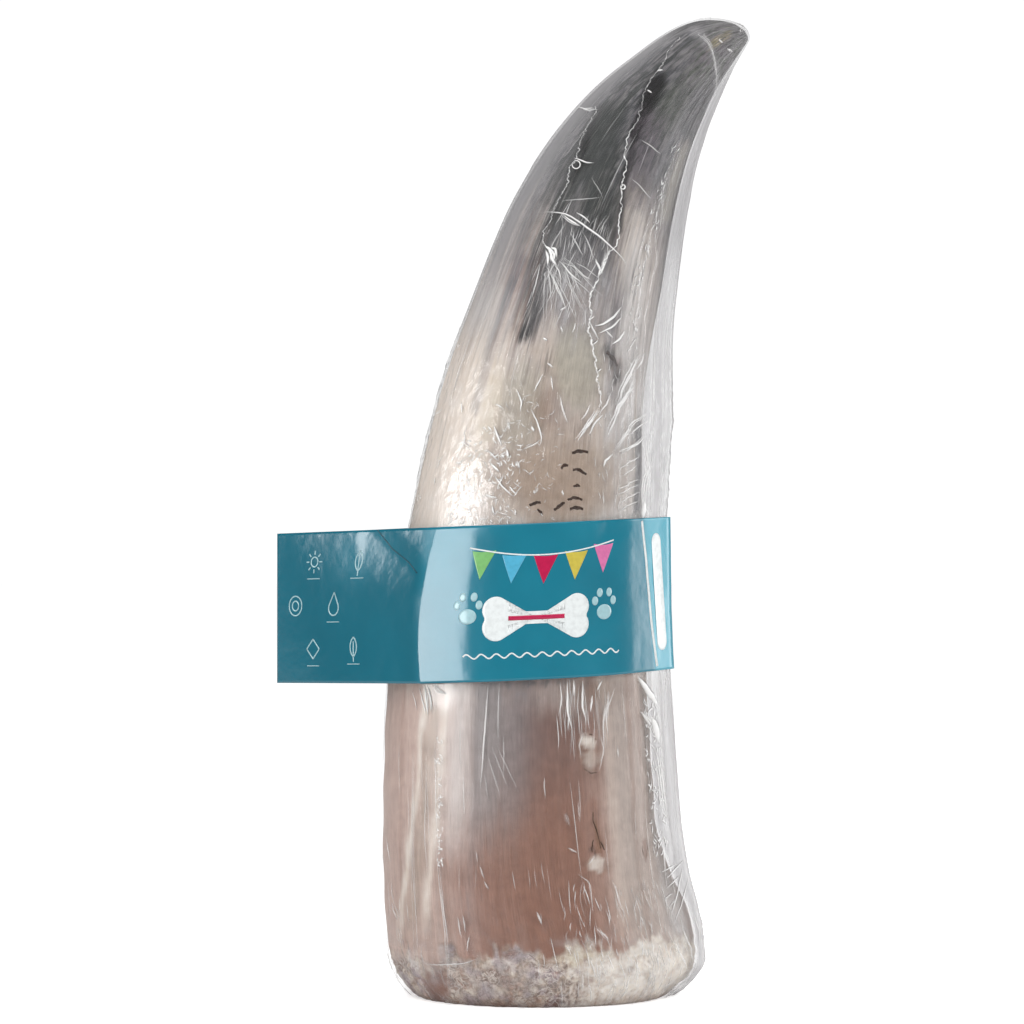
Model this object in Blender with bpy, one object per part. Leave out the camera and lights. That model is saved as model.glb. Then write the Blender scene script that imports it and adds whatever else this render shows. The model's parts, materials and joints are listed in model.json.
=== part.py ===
"""Cow horn dog chew: a hollow horn standing on its broad end, a clear shrink film round it and a
printed label band round the film.

Blender 4.5, metres, +Z up. The origin is the middle of the underside of the bounding box, +X is the
side that the tip bends to, and the camera of the photograph looks along +Y.
Each surface is a grid of two parameters: th, the angle round the horn (0 at +X, 270 degrees at the
front), and t, the place in the table of stations along the horn.
"""
import math

import bpy
import numpy as np

for old in list(bpy.data.objects):
    bpy.data.objects.remove(old, do_unlink=True)

TAU = 2 * math.pi
MM = 0.001
SHARP_EDGE = math.radians(40)

# Stations along the horn, in mm: middle x and z, lean to +X in degrees, half width across, half depth
STATIONS = np.array([
    (7.2, 0.0, 0.0, 37.3, 34.3),
    (6.0, 12.0, 0.0, 36.9, 34.2),
    (3.2, 28.0, 0.0, 35.5, 33.4),
    (1.9, 50.0, 0.0, 34.4, 32.6),
    (1.55, 75.0, 0.4, 33.2, 31.5),
    (2.4, 100.0, 2.5, 31.3, 29.9),
    (4.7, 125.0, 6.0, 28.7, 27.7),
    (7.8, 150.0, 9.4, 25.7, 25.0),
    (12.2, 172.0, 13.3, 22.3, 22.0),
    (17.1, 190.0, 18.5, 19.9, 19.8),
    (23.7, 207.0, 25.8, 17.1, 17.2),
    (32.0, 222.2, 32.5, 13.6, 13.9),
    (39.3, 231.6, 36.0, 10.8, 11.2),
    (44.2, 236.8, 37.5, 9.45, 10.0),
    (48.6, 241.0, 39.0, 8.0, 8.7),
    (52.4, 243.7, 40.5, 6.35, 7.2),
    (55.6, 245.0, 43.0, 4.4, 5.4),
    (58.2, 245.55, 45.0, 2.25, 3.0),
    (59.3, 245.65, 46.0, 0.0, 0.0),
])
LAST = len(STATIONS) - 1

# How far the film stands past the horn's +X side, against height along the middle line
WEB_H = np.array([
    0.0, 2.0, 4.6, 8.4, 13.5, 18.6, 23.7, 31.4, 44.0, 75.0, 100.0, 126.0,
    151.0, 167.0, 177.0, 187.0, 197.0, 207.0, 217.0, 226.0, 233.0, 238.0, 242.0, 246.0,
])
WEB_W = np.array([
    0.9, 2.0, 3.8, 5.0, 5.7, 6.6, 6.9, 6.4, 5.8, 5.5, 5.4, 5.6,
    7.1, 6.8, 6.4, 6.2, 5.8, 5.2, 4.4, 3.7, 2.6, 1.3, 0.5, 0.0,
])


def spline(ys, t):
    """Natural cubic spline through ys at 0, 1, 2 ..., read at t. The second derivatives m solve
    m[i-1] + 4 m[i] + m[i+1] = 6 (y[i-1] - 2 y[i] + y[i+1]), with m = 0 at both ends."""
    n = len(ys)
    a = np.eye(n)
    rhs = np.zeros(n)
    i = np.arange(1, n - 1)
    a[i, i - 1] = a[i, i + 1] = 1
    a[i, i] = 4
    rhs[i] = 6 * (ys[:-2] - 2 * ys[1:-1] + ys[2:])
    m = np.linalg.solve(a, rhs)
    t = np.asarray(t, float)
    k = np.clip(np.floor(t).astype(int), 0, n - 2)
    f, g = t - k, k + 1 - t
    return (m[k] * (g**3 - g) + m[k + 1] * (f**3 - f)) / 6 + ys[k] * g + ys[k + 1] * f


DENSE_T = np.linspace(0, LAST, 2001)
DENSE_H = np.maximum.accumulate(spline(STATIONS[:, 1], DENSE_T))


def station(t):
    """Middle x and z, unit vector across (in the plane of the bend), half width and half depth at t."""
    x, z, lean, a, b = (spline(STATIONS[:, k], t) for k in range(5))
    lean = np.radians(lean)
    return x, z, np.cos(lean), -np.sin(lean), np.maximum(a, 0), np.maximum(b, 0)


def t_at(height):
    """The t at which the middle line is at this height."""
    return np.interp(height, DENSE_H, DENSE_T)


def smooth(lo, hi, x):
    """0 below lo, 1 above hi, smooth between."""
    s = np.clip((x - lo) / (hi - lo), 0, 1)
    return s * s * (3 - 2 * s)


def edge_round(h):
    """How far the outer edge of the base is rounded off, in mm."""
    return 6.0 * np.clip(1 - h / 12.0, 0, 1) ** 2.2


def relief(th, h, a):
    """Depth below the plain surface, in mm: long shallow ridges, faint growth rings low down and a
    rough crust at the base."""
    ridges = 0.32 * (0.5 + 0.5 * np.cos(9 * th + 1.1 * np.sin(h / 38.0)))
    ridges = ridges + 0.30 * (0.5 + 0.5 * np.cos(5 * th - 0.8 + h / 85.0))
    rings = 0.24 * (0.5 + 0.5 * np.cos(TAU * h / 15.0 + 0.7 * np.sin(3 * th)))
    rings = rings * smooth(14, 26, h) * (1 - smooth(66, 96, h))
    crust = np.sin(23 * th + 0.9 * h) * np.sin(17 * th - 1.7 * h + 1)
    crust = crust + np.sin(11 * th + 2.3 * h) * np.sin(29 * th + 0.6)
    crust = 0.45 * (1 + 0.5 * crust) * (1 - smooth(9, 17, h))
    return np.minimum(1, a / 14.0) * (ridges * smooth(4, 30, h) + rings + crust)


def ring_points(th, t, a, b):
    """Points of a section with half width a and half depth b at t."""
    x, z, nx, nz = station(t)[:4]
    across, deep = a * np.cos(th), b * np.sin(th)
    return np.stack(np.broadcast_arrays(x + across * nx, deep, z + across * nz), -1)


def horn_surface(th, t):
    """The horn's outer skin: the stations' ellipse less the rounded base edge and the relief."""
    a, b = station(t)[4:]
    h = spline(STATIONS[:, 1], t)
    down = edge_round(h) + relief(th, h, a)
    return ring_points(th, t, np.maximum(a - down, 0), np.maximum(b - down, 0))


def hull_surface(th, t):
    """The section that a tight skin takes: the ellipse, and two straight runs from it to an edge that
    stands off at +X. With the edge at e > a, the runs touch the ellipse at x = a a / e."""
    a, b = station(t)[4:]
    h = spline(STATIONS[:, 1], t)
    a = np.maximum(a - edge_round(h), 1e-6)
    b = np.maximum(b - edge_round(h), 1e-6)
    e = a + np.interp(h, WEB_H, WEB_W) * np.clip(a, 0, 1)
    c, s = np.cos(th), np.abs(np.sin(th))
    r = 1 / np.sqrt((c / a) ** 2 + (s / b) ** 2)
    tx = a * a / e
    ty = b * np.sqrt(np.maximum(1 - (a / e) ** 2, 0))
    straight = e * ty / np.maximum(ty * c + (e - tx) * s, 1e-9)
    r = np.where((c > 0) & (s * tx <= ty * c), straight, r)
    return ring_points(th, t, r, r)


def film_surface(th, t, off):
    """The tight skin moved out by off along its own normal, found from small steps in th and t. At
    the tip, where the steps shrink to nothing, the way out of the ring stands in for the normal."""
    t = np.asarray(t, float)
    lo, hi = np.clip(t - 0.02, 0, LAST), np.clip(t + 0.02, 0, LAST)
    d_th = hull_surface(th + 0.01, t) - hull_surface(th - 0.01, t)
    d_t = hull_surface(th, hi) - hull_surface(th, lo)
    n = np.cross(d_th, d_t)
    size = np.linalg.norm(n, axis=-1, keepdims=True)
    ring = ring_points(th, t, 1.0, 1.0) - ring_points(th, t, 0.0, 0.0)
    n = np.where(size > 1e-9, n / np.maximum(size, 1e-9), ring)
    return hull_surface(th, t) + off * n


def film_at(th, z, off):
    """The film's point at angle th whose height is z: t is found by stepping towards it."""
    t = t_at(z) * np.ones_like(th * z)
    for _ in range(12):
        t = np.clip(t + (z - film_surface(th, t, off)[..., 2]) / 25.0, 0, LAST - 1)
    return film_surface(th, t, off)


def grid_faces(rows, cols, first=0, closed=True):
    """Quads of a grid of rows x cols points numbered row by row, each facing away from the axis when
    the rows go up and the columns go anticlockwise."""
    i, j = np.meshgrid(np.arange(rows - 1), np.arange(cols if closed else cols - 1), indexing="ij")
    k = (j + 1) % cols
    quads = np.stack([i * cols + j, i * cols + k, (i + 1) * cols + k, (i + 1) * cols + j], -1)
    return (quads.reshape(-1, 4) + first).tolist()


def fan(ring, pole, flip=False):
    """Triangles from a ring of points to one point."""
    nxt = ring[1:] + ring[:1]
    return [(b, a, pole) if flip else (a, b, pole) for a, b in zip(ring, nxt)]


def bridge(outer, inner):
    """Quads between two rings with the same number of points, facing down when both go anticlockwise
    and inner lies inside."""
    n = len(outer)
    return [(outer[i], inner[i], inner[(i + 1) % n], outer[(i + 1) % n]) for i in range(n)]


def material(name, colour, roughness, alpha=1.0):
    """A plain Principled BSDF with a linear colour. Nothing on this object is metal."""
    made = bpy.data.materials.new(name)
    made.use_nodes = True
    shader = made.node_tree.nodes["Principled BSDF"]
    shader.inputs["Base Color"].default_value = (*colour, 1.0)
    shader.inputs["Roughness"].default_value = roughness
    shader.inputs["Metallic"].default_value = 0.0
    shader.inputs["Alpha"].default_value = alpha
    return made


def add(name, points, faces, finish):
    """Makes a named object from points in mm, shaded smooth but for its sharp edges."""
    mesh = bpy.data.meshes.new(name)
    mesh.from_pydata((np.asarray(points) * MM).tolist(), [], faces)
    mesh.update()
    mesh.shade_smooth()
    mesh.set_sharp_from_angle(angle=SHARP_EDGE)
    mesh.materials.append(finish)
    obj = bpy.data.objects.new(name, mesh)
    bpy.context.scene.collection.objects.link(obj)
    return obj


def shell(name, outer, inner, outer_pole, inner_pole, finish):
    """One closed skin with thickness: outer and inner are grids of the same columns, open at the
    first row, closed at a pole."""
    cols = outer.shape[1]
    n_out, n_in = outer.shape[0] * cols, inner.shape[0] * cols
    points = np.concatenate([outer.reshape(-1, 3), inner.reshape(-1, 3), [outer_pole, inner_pole]])
    top_out = list(range(n_out - cols, n_out))
    top_in = list(range(n_out + n_in - cols, n_out + n_in))
    faces = grid_faces(outer.shape[0], cols)
    faces += [f[::-1] for f in grid_faces(inner.shape[0], cols, n_out)]
    faces += fan(top_out, n_out + n_in) + fan(top_in, n_out + n_in + 1, flip=True)
    faces += bridge(list(range(cols)), list(range(n_out, n_out + cols)))
    return add(name, points, faces, finish)


# The horn: outer skin from the base to the tip, by height and then, near the tip, by station
HORN_COLS = 48
HORN_H = np.array([
    0, 1.3, 3.2, 5.6, 8.4, 11.5, 15, 20, 27, 34.5, 42, 49.5, 57, 64.5, 72, 80,
    88, 97, 107, 118, 130, 143, 156, 169, 181, 192, 202, 211, 219, 226.5, 232.5,
])
HORN_T = np.concatenate([t_at(HORN_H), [13.1, 14.1, 15.1, 16.1, 17.0, 17.6]])
th = (np.arange(HORN_COLS) * TAU / HORN_COLS)[None, :]
horn_out = horn_surface(th, HORN_T[:, None])
horn_out[0, :, 2] = 0.0
horn_tip = ring_points(0.0, float(LAST), 0.0, 0.0)

# The hollow: height and half width, open at the base, narrowing to a blunt end well below the tip
HOLLOW_H = np.array([0, 12, 30, 48, 66, 84, 100, 114, 126, 137, 146, 152.5, 156.5])
HOLLOW_A = np.array([27.4, 27.6, 27.6, 26.9, 25.4, 23.2, 20.4, 17.2, 13.9, 10.4, 7.0, 4.0, 1.8])
HOLLOW_TOP = 157.6
HOLLOW_DEEP = 0.915
HOLLOW_SHIFT = np.array([0.6, 0, 0])
horn_in = ring_points(th, t_at(HOLLOW_H)[:, None], HOLLOW_A[:, None], HOLLOW_A[:, None] * HOLLOW_DEEP)
horn_in = horn_in - HOLLOW_SHIFT
horn_in[0, :, 2] = 0.0
hollow_end = ring_points(0.0, t_at(HOLLOW_TOP), 0.0, 0.0) - HOLLOW_SHIFT
keratin = material("keratin", (0.27, 0.23, 0.19), 0.45)
shell("horn", horn_out, horn_in, horn_tip, hollow_end, keratin)

# The film: outer and inner walls, open round the rim of the horn
FILM_COLS = 40
FILM_OUT, FILM_IN = 0.85, 0.48
FILM_H = np.array([
    0.9, 3.0, 6.0, 9.5, 13.5, 18.5, 24, 34, 52, 72, 92,
    112, 131, 149, 165, 179, 191, 202, 212, 221, 228.5,
])
FILM_T = np.concatenate([t_at(FILM_H), [12.5, 13.6, 14.7, 15.8, 16.8, 17.6]])
th = (np.arange(FILM_COLS) * TAU / FILM_COLS)[None, :]
film_out = film_surface(th, FILM_T[:, None], FILM_OUT)
film_in = film_surface(th, FILM_T[:, None], FILM_IN)
TIP_LEAN = math.radians(56)
end_way = np.array([math.sin(TIP_LEAN), 0, math.cos(TIP_LEAN)])
clear_film = material("clear_film", (0.9, 0.9, 0.9), 0.12, alpha=0.2)
shell("film_wrap", film_out, film_in, horn_tip + FILM_OUT * end_way, horn_tip + FILM_IN * end_way, clear_film)

# The label band: front ply of the flag, once round the film, back ply of the flag
LABEL_TALL, LABEL_THICK, LABEL_GAP, PLY_GAP = 38.7, 0.45, 0.35, 0.14
FLAG_END = np.array([-60.6, 17.5])
# The two plies part at this share of the way from the fold to the flag's end
FLAG_ROOT = 0.45
# At the lower edge, the middle and the upper edge of the band: angle of the fold, how far it stands
# off, and the angle at which the back ply leaves the film, one turn on
FOLD_ANGLE = np.array([228.4, 223.2, 225.4])
FOLD_OFF = np.array([2.8, 1.9, 1.2])
LEAVE_ANGLE = np.array([515.0, 509.0, 504.5])
MIDDLE_Z, CLIMB = 101.0, 0.043


def label_middle(x):
    """Height of the band's middle line: it climbs to +X by 4.3 in 100."""
    return MIDDLE_Z + CLIMB * (x - 8.0)


def label_path(v):
    """Plan points of the band's middle surface at v (0 at its lower edge, 1 at its upper), with z.
    From the flag's end the front ply runs straight to a fold that stands off the film. Then the band
    lies on the film from 16 degrees past the fold, round the edge of the film's web and along the
    back, and leaves it for the root, where it turns to lie behind the front ply."""
    off = FILM_OUT + LABEL_GAP + LABEL_THICK / 2
    fold, fold_off, leave = (np.interp(v, [0, 0.5, 1], row) for row in (FOLD_ANGLE, FOLD_OFF, LEAVE_ANGLE))
    runs = [[fold], np.linspace(fold + 16, 316, 14), np.linspace(321, 399, 17), np.linspace(404, leave, 19)]
    ang = np.radians(np.concatenate(runs))
    off = np.where(np.arange(len(ang)) == 0, off + fold_off, off)[:, None]
    z = np.full(ang.shape, MIDDLE_Z)
    for _ in range(3):
        body = film_at(ang, z, off)
        z = label_middle(body[:, 0]) + (v - 0.5) * LABEL_TALL
    b0, b1 = body[0, :2], body[-1, :2]
    way = (b0 - FLAG_END) / np.linalg.norm(b0 - FLAG_END)
    front_side = np.array([way[1], -way[0]])
    half = (LABEL_THICK + PLY_GAP) / 2 * front_side
    front_end, back_end = FLAG_END + half, FLAG_END - half
    back_root = b0 + FLAG_ROOT * (front_end - b0) - 2 * half
    f = np.linspace(0, 1, 7)[:, None]
    g = np.linspace(0, 1, 5)[1:-1, None]
    plan = np.concatenate([
        front_end + (b0 - front_end) * np.linspace(0, 1, 11)[:-1, None],
        body[:, :2],
        b1 + (back_root - b1) * g,
        back_root + (back_end - back_root) * f,
    ])
    return np.column_stack([plan, label_middle(plan[:, 0]) + (v - 0.5) * LABEL_TALL])


rows = [label_path(v) for v in (0.0, 0.5, 1.0)]
sides = []
for row in rows:
    step = np.gradient(row[:, :2], axis=0)
    step /= np.linalg.norm(step, axis=1)[:, None]
    sides.append(np.column_stack([step[:, 1], -step[:, 0], np.zeros(len(step))]) * LABEL_THICK / 2)
loop = [rows[k] + sides[k] for k in (0, 1, 2)] + [rows[k] - sides[k] for k in (2, 1, 0)]
n, m = len(rows[0]), len(loop)
points = np.stack(loop, 1).reshape(-1, 3)
faces = [
    (i * m + j, (i + 1) * m + j, (i + 1) * m + (j + 1) % m, i * m + (j + 1) % m)
    for i in range(n - 1)
    for j in range(m)
]
faces += [tuple(range(m)), tuple((n - 1) * m + j for j in reversed(range(m)))]
add("label_band", points, faces, material("printed_plastic", (0.01, 0.13, 0.18), 0.2))
print("horn", horn_out.min((0, 1)), horn_out.max((0, 1)))
print("film", film_out.min((0, 1)), film_out.max((0, 1)))
print("label", points.min(0), points.max(0))
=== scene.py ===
# %% [markdown]
# # A cow horn dog chew in shrink film
# The real thing is three pieces: a hollow cow horn, a clear shrink film drawn tight round it, and a printed
# band round the film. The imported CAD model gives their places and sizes. Each cell below adds one piece or
# one finish to it, in millimetres that are turned to metres when the mesh is made.

# %% Load the frame
import json
import math

import bpy
import numpy as np
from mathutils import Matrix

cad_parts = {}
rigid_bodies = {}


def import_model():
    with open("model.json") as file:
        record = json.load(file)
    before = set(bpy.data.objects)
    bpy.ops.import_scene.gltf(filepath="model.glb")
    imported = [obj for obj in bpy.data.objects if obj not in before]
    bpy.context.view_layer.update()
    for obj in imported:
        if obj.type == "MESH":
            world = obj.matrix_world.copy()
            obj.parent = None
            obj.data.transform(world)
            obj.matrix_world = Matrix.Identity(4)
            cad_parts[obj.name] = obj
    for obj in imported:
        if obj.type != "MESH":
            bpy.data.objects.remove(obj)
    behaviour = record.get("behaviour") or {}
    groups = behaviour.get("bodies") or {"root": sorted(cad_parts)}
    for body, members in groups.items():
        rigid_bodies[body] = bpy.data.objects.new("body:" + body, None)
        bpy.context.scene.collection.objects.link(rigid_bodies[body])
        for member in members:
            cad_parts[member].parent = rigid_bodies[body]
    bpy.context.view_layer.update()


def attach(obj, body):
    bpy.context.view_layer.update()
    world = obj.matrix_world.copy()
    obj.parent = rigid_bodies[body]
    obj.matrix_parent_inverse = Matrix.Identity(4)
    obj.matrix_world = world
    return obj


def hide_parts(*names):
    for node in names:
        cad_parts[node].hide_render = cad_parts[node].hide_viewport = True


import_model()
MM = 0.001
TAU = 2 * math.pi

# %% [markdown]
# ## The horn's plain form
# A horn grows as a cone that bends, so its form is a table of sections along its middle line, joined by a
# smooth curve. It could be sculpted by hand, but a table keeps every point a function of two numbers: the
# angle round the horn and the place along it. The film and the band then use the same functions and fit
# without trying.

# %% The stations
# Middle x and z, lean to +X in degrees, half width across, half depth
STATIONS = np.array([
    (7.2, 0.0, 0.0, 37.3, 34.3),
    (6.0, 12.0, 0.0, 36.9, 34.2),
    (3.2, 28.0, 0.0, 35.5, 33.4),
    (1.9, 50.0, 0.0, 34.4, 32.6),
    (1.55, 75.0, 0.4, 33.2, 31.5),
    (2.4, 100.0, 2.5, 31.3, 29.9),
    (4.7, 125.0, 6.0, 28.7, 27.7),
    (7.8, 150.0, 9.4, 25.7, 25.0),
    (12.2, 172.0, 13.3, 22.3, 22.0),
    (17.1, 190.0, 18.5, 19.9, 19.8),
    (23.7, 207.0, 25.8, 17.1, 17.2),
    (32.0, 222.2, 32.5, 13.6, 13.9),
    (39.3, 231.6, 36.0, 10.8, 11.2),
    (44.2, 236.8, 37.5, 9.45, 10.0),
    (48.6, 241.0, 39.0, 8.0, 8.7),
    (52.4, 243.7, 40.5, 6.35, 7.2),
    (55.6, 245.0, 43.0, 4.4, 5.4),
    (58.2, 245.55, 45.0, 2.25, 3.0),
    (59.3, 245.65, 46.0, 0.0, 0.0),
])
LAST = len(STATIONS) - 1
# How far the film stands past the horn's +X side, against height along the middle line
WEB_H = np.array([
    0.0, 2.0, 4.6, 8.4, 13.5, 18.6, 23.7, 31.4, 44.0, 75.0, 100.0, 126.0,
    151.0, 167.0, 177.0, 187.0, 197.0, 207.0, 217.0, 226.0, 233.0, 238.0, 242.0, 246.0,
])
WEB_W = np.array([
    0.9, 2.0, 3.8, 5.0, 5.7, 6.6, 6.9, 6.4, 5.8, 5.5, 5.4, 5.6,
    7.1, 6.8, 6.4, 6.2, 5.8, 5.2, 4.4, 3.7, 2.6, 1.3, 0.5, 0.0,
])
print(len(STATIONS), "stations and", len(WEB_H), "heights of the film's edge")


# %% The spline through the stations
def spline(ys, t):
    """Natural cubic spline through ys at 0, 1, 2 ..., read at t. The second derivatives m solve m[i-1] + 4
    m[i] + m[i+1] = 6 (y[i-1] - 2 y[i] + y[i+1]), with m = 0 at both ends."""
    n = len(ys)
    a = np.eye(n)
    rhs = np.zeros(n)
    i = np.arange(1, n - 1)
    a[i, i - 1] = a[i, i + 1] = 1
    a[i, i] = 4
    rhs[i] = 6 * (ys[:-2] - 2 * ys[1:-1] + ys[2:])
    m = np.linalg.solve(a, rhs)
    t = np.asarray(t, float)
    k = np.clip(np.floor(t).astype(int), 0, n - 2)
    f, g = t - k, k + 1 - t
    return (m[k] * (g**3 - g) + m[k + 1] * (f**3 - f)) / 6 + ys[k] * g + ys[k + 1] * f


DENSE_T = np.linspace(0, LAST, 4001)
DENSE_H = np.maximum.accumulate(spline(STATIONS[:, 1], DENSE_T))
steps = np.hypot(np.diff(spline(STATIONS[:, 0], DENSE_T)), np.diff(spline(STATIONS[:, 1], DENSE_T)))
DENSE_S = np.concatenate([[0], np.cumsum(steps)])


def station(t):
    """Middle x and z, unit vector across (in the plane of the bend), half width and half depth at t."""
    x, z, lean, a, b = (spline(STATIONS[:, k], t) for k in range(5))
    lean = np.radians(lean)
    return x, z, np.cos(lean), -np.sin(lean), np.maximum(a, 0), np.maximum(b, 0)


def t_at(height):
    """The t at which the middle line is at this height."""
    return np.interp(height, DENSE_H, DENSE_T)


def t_along(length):
    """The t at this length along the middle line from the base."""
    return np.interp(length, DENSE_S, DENSE_T)


def smooth(lo, hi, x):
    """0 below lo, 1 above hi, smooth between."""
    s = np.clip((x - lo) / (hi - lo), 0, 1)
    return s * s * (3 - 2 * s)


print("middle line", round(float(DENSE_S[-1]), 1), "mm long")

# %% Sections and the tight skin
EDGE_DEEP, EDGE_TALL = 6.0, 12.0


def edge_round(h):
    """How far the outer edge of the base is rounded off: deep (1 - h / tall) to the power 2.2."""
    return EDGE_DEEP * np.clip(1 - h / EDGE_TALL, 0, 1) ** 2.2


def ring_points(th, t, a, b):
    """Points of a section with half width a and half depth b at t."""
    x, z, nx, nz = station(t)[:4]
    across, deep = a * np.cos(th), b * np.sin(th)
    return np.stack(np.broadcast_arrays(x + across * nx, deep, z + across * nz), -1)


def hull_surface(th, t):
    """The section that a tight skin takes: the ellipse, and two straight runs from it to an edge that
    stands off at +X. With the edge at e > a, the runs touch the ellipse at x = a a / e."""
    a, b = station(t)[4:]
    h = spline(STATIONS[:, 1], t)
    a = np.maximum(a - edge_round(h), 1e-6)
    b = np.maximum(b - edge_round(h), 1e-6)
    e = a + np.interp(h, WEB_H, WEB_W) * np.clip(a, 0, 1)
    c, s = np.cos(th), np.abs(np.sin(th))
    r = 1 / np.sqrt((c / a) ** 2 + (s / b) ** 2)
    tx = a * a / e
    ty = b * np.sqrt(np.maximum(1 - (a / e) ** 2, 0))
    run = e * ty / np.maximum(ty * c + (e - tx) * s, 1e-9)
    r = np.where((c > 0) & (s * tx <= ty * c), run, r)
    return ring_points(th, t, r, r)


TH_STEP, T_STEP = 0.01, 0.02


def normals_of(surface, th, t):
    """Unit normals of a surface, from small steps in th and t: the cross product of the two tangents."""
    t = np.asarray(t, float)
    lo, hi = np.clip(t - T_STEP, 0, LAST), np.clip(t + T_STEP, 0, LAST)
    n = np.cross(surface(th + TH_STEP, t) - surface(th - TH_STEP, t), surface(th, hi) - surface(th, lo))
    size = np.linalg.norm(n, axis=-1, keepdims=True)
    ring = ring_points(th, t, 1.0, 1.0) - ring_points(th, t, 0.0, 0.0)
    return np.where(size > 1e-9, n / np.maximum(size, 1e-9), ring)


def skin(th, t, off):
    """The tight skin moved out by off along its own normal."""
    off = np.asarray(off, float)
    return hull_surface(th, t) + (off[..., None] if off.ndim else off) * normals_of(hull_surface, th, t)


print("the tight skin at the second station, at +X", hull_surface(0.0, 1.0).round(1))

# %% [markdown]
# ## Noise
# Nothing that grew is even. Perlin noise gives smooth random hills: a random slope at each point of a
# lattice, blended between the eight nearest. It is worked out here for whole arrays, so that the same noise
# can shape a mesh and colour it.

# %% Noise for whole arrays
NOISE_GAIN = 1.6
SLOPES = np.random.default_rng(7).normal(size=(512, 3))
SLOPES /= np.linalg.norm(SLOPES, axis=1)[:, None]


def noise(p, seed=0):
    """Perlin noise, about -0.8 to 0.8, at points p of shape (..., 3)."""
    p = np.asarray(p, float)
    cell = np.floor(p).astype(np.int64)
    f = p - cell
    w = f * f * f * (f * (f * 6 - 15) + 10)
    total = 0
    for corner in np.ndindex(2, 2, 2):
        i = cell + corner
        key = (i[..., 0] * 73856093) ^ (i[..., 1] * 19349663) ^ (i[..., 2] * 83492791) ^ (seed * 2654435761)
        key = (key ^ (key >> 13)) * 1274126177
        slope = SLOPES[(key ^ (key >> 16)) & (len(SLOPES) - 1)]
        part = ((f - corner) * slope).sum(-1)
        for k in range(3):
            part = part * (w[..., k] if corner[k] else 1 - w[..., k])
        total = total + part
    return NOISE_GAIN * total


def fractal(p, octaves=4, seed=0, gain=0.5):
    """Noise summed at doubled scales, each weaker than the last."""
    total, size = 0, 1.0
    for k in range(octaves):
        total = total + size * noise(np.asarray(p) * 2.0**k, seed + k)
        size *= gain
    return total


def ridged(p, sharp, seed):
    """Sharp crests along the lines where noise crosses 0: 1 - sharp |noise|, not below 0."""
    return np.clip(1 - sharp * np.abs(noise(p, seed)), 0, 1)


def straight(th, length, round_mm=32.0):
    """Points on a straight cylinder, so that noise follows the fibres up a horn that bends: R cos th, R sin
    th, length."""
    th, length = np.broadcast_arrays(th, length)
    return np.stack([round_mm * np.cos(th), round_mm * np.sin(th), length], -1)


print("noise at three points", noise(np.array([(0.3, 0, 0), (0.6, 0, 0), (0.9, 0, 0)])).round(2))

# %% [markdown]
# ## The camera's view
# The photograph was taken from the height of the horn's middle, from about a metre away. Marks that were
# placed by looking at the photograph are given in its own pixels, and a function finds the point of the
# horn or the film that a pixel shows.

# %% The camera's place, and points seen under a pixel
CAMERA_AWAY, CAMERA_HIGH, MM_PER_PIXEL, FRAME_PX = 1050.0, 123.0, 0.255, 1024
NEWTON_ROUNDS, NEWTON_STEP = 14, 0.004


def seen(p):
    """Where the camera sees points p in mm: the pixel's x and y."""
    k = CAMERA_AWAY / (CAMERA_AWAY + p[..., 1]) / MM_PER_PIXEL
    return FRAME_PX / 2 + p[..., 0] * k, FRAME_PX / 2 - (p[..., 2] - CAMERA_HIGH) * k


def under_pixel(px, py, surface):
    """Angle and t of the front point of a surface under each pixel, by Newton's steps on seen()."""
    px, py = np.asarray(px, float), np.asarray(py, float)
    t = t_at(CAMERA_HIGH + (FRAME_PX / 2 - py) * MM_PER_PIXEL)
    x, _, nx, _, a, _ = station(t)
    side = np.clip(((px - FRAME_PX / 2) * MM_PER_PIXEL - x) / np.maximum(a, 1), -0.97, 0.97)
    th = 1.5 * math.pi + np.arcsin(side)
    for _ in range(NEWTON_ROUNDS):
        u, v = seen(surface(th, t))
        ua, va = seen(surface(th + NEWTON_STEP, t))
        ub, vb = seen(surface(th, t + NEWTON_STEP))
        a11, a12, a21, a22 = (slope / NEWTON_STEP for slope in (ua - u, ub - u, va - v, vb - v))
        det = a11 * a22 - a12 * a21
        det = np.where(np.abs(det) < 1e-3, 1e-3, det)
        du, dv = px - u, py - v
        th = np.clip(th + np.clip((a22 * du - a12 * dv) / det, -0.15, 0.15), math.pi + 0.02, TAU - 0.005)
        t = np.clip(t + np.clip((a11 * dv - a21 * du) / det, -0.6, 0.6), 0.01, LAST - 0.2)
    return th, t


print("the point above the origin at the camera's height is seen at", seen(np.array([0.0, 0.0, CAMERA_HIGH])))

# %% [markdown]
# ## Small helpers for meshes and materials
# A grid of points becomes a mesh of quads. One function adds a shader node with its settings and links, and
# one turns a hex colour from a colour picker into the linear light that shaders work in.

# %% Meshes from grids
def grid_faces(rows, cols, first=0, closed=True, flip=False):
    """Quads of a grid of rows x cols points numbered row by row, each facing away from the axis when the
    rows go up and the columns go anticlockwise."""
    i, j = np.meshgrid(np.arange(rows - 1), np.arange(cols if closed else cols - 1), indexing="ij")
    k = (j + 1) % cols
    here, above = i * cols, (i + 1) * cols
    quads = np.stack([here + j, here + k, above + k, above + j], -1).reshape(-1, 4) + first
    return quads[:, ::-1] if flip else quads


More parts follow.
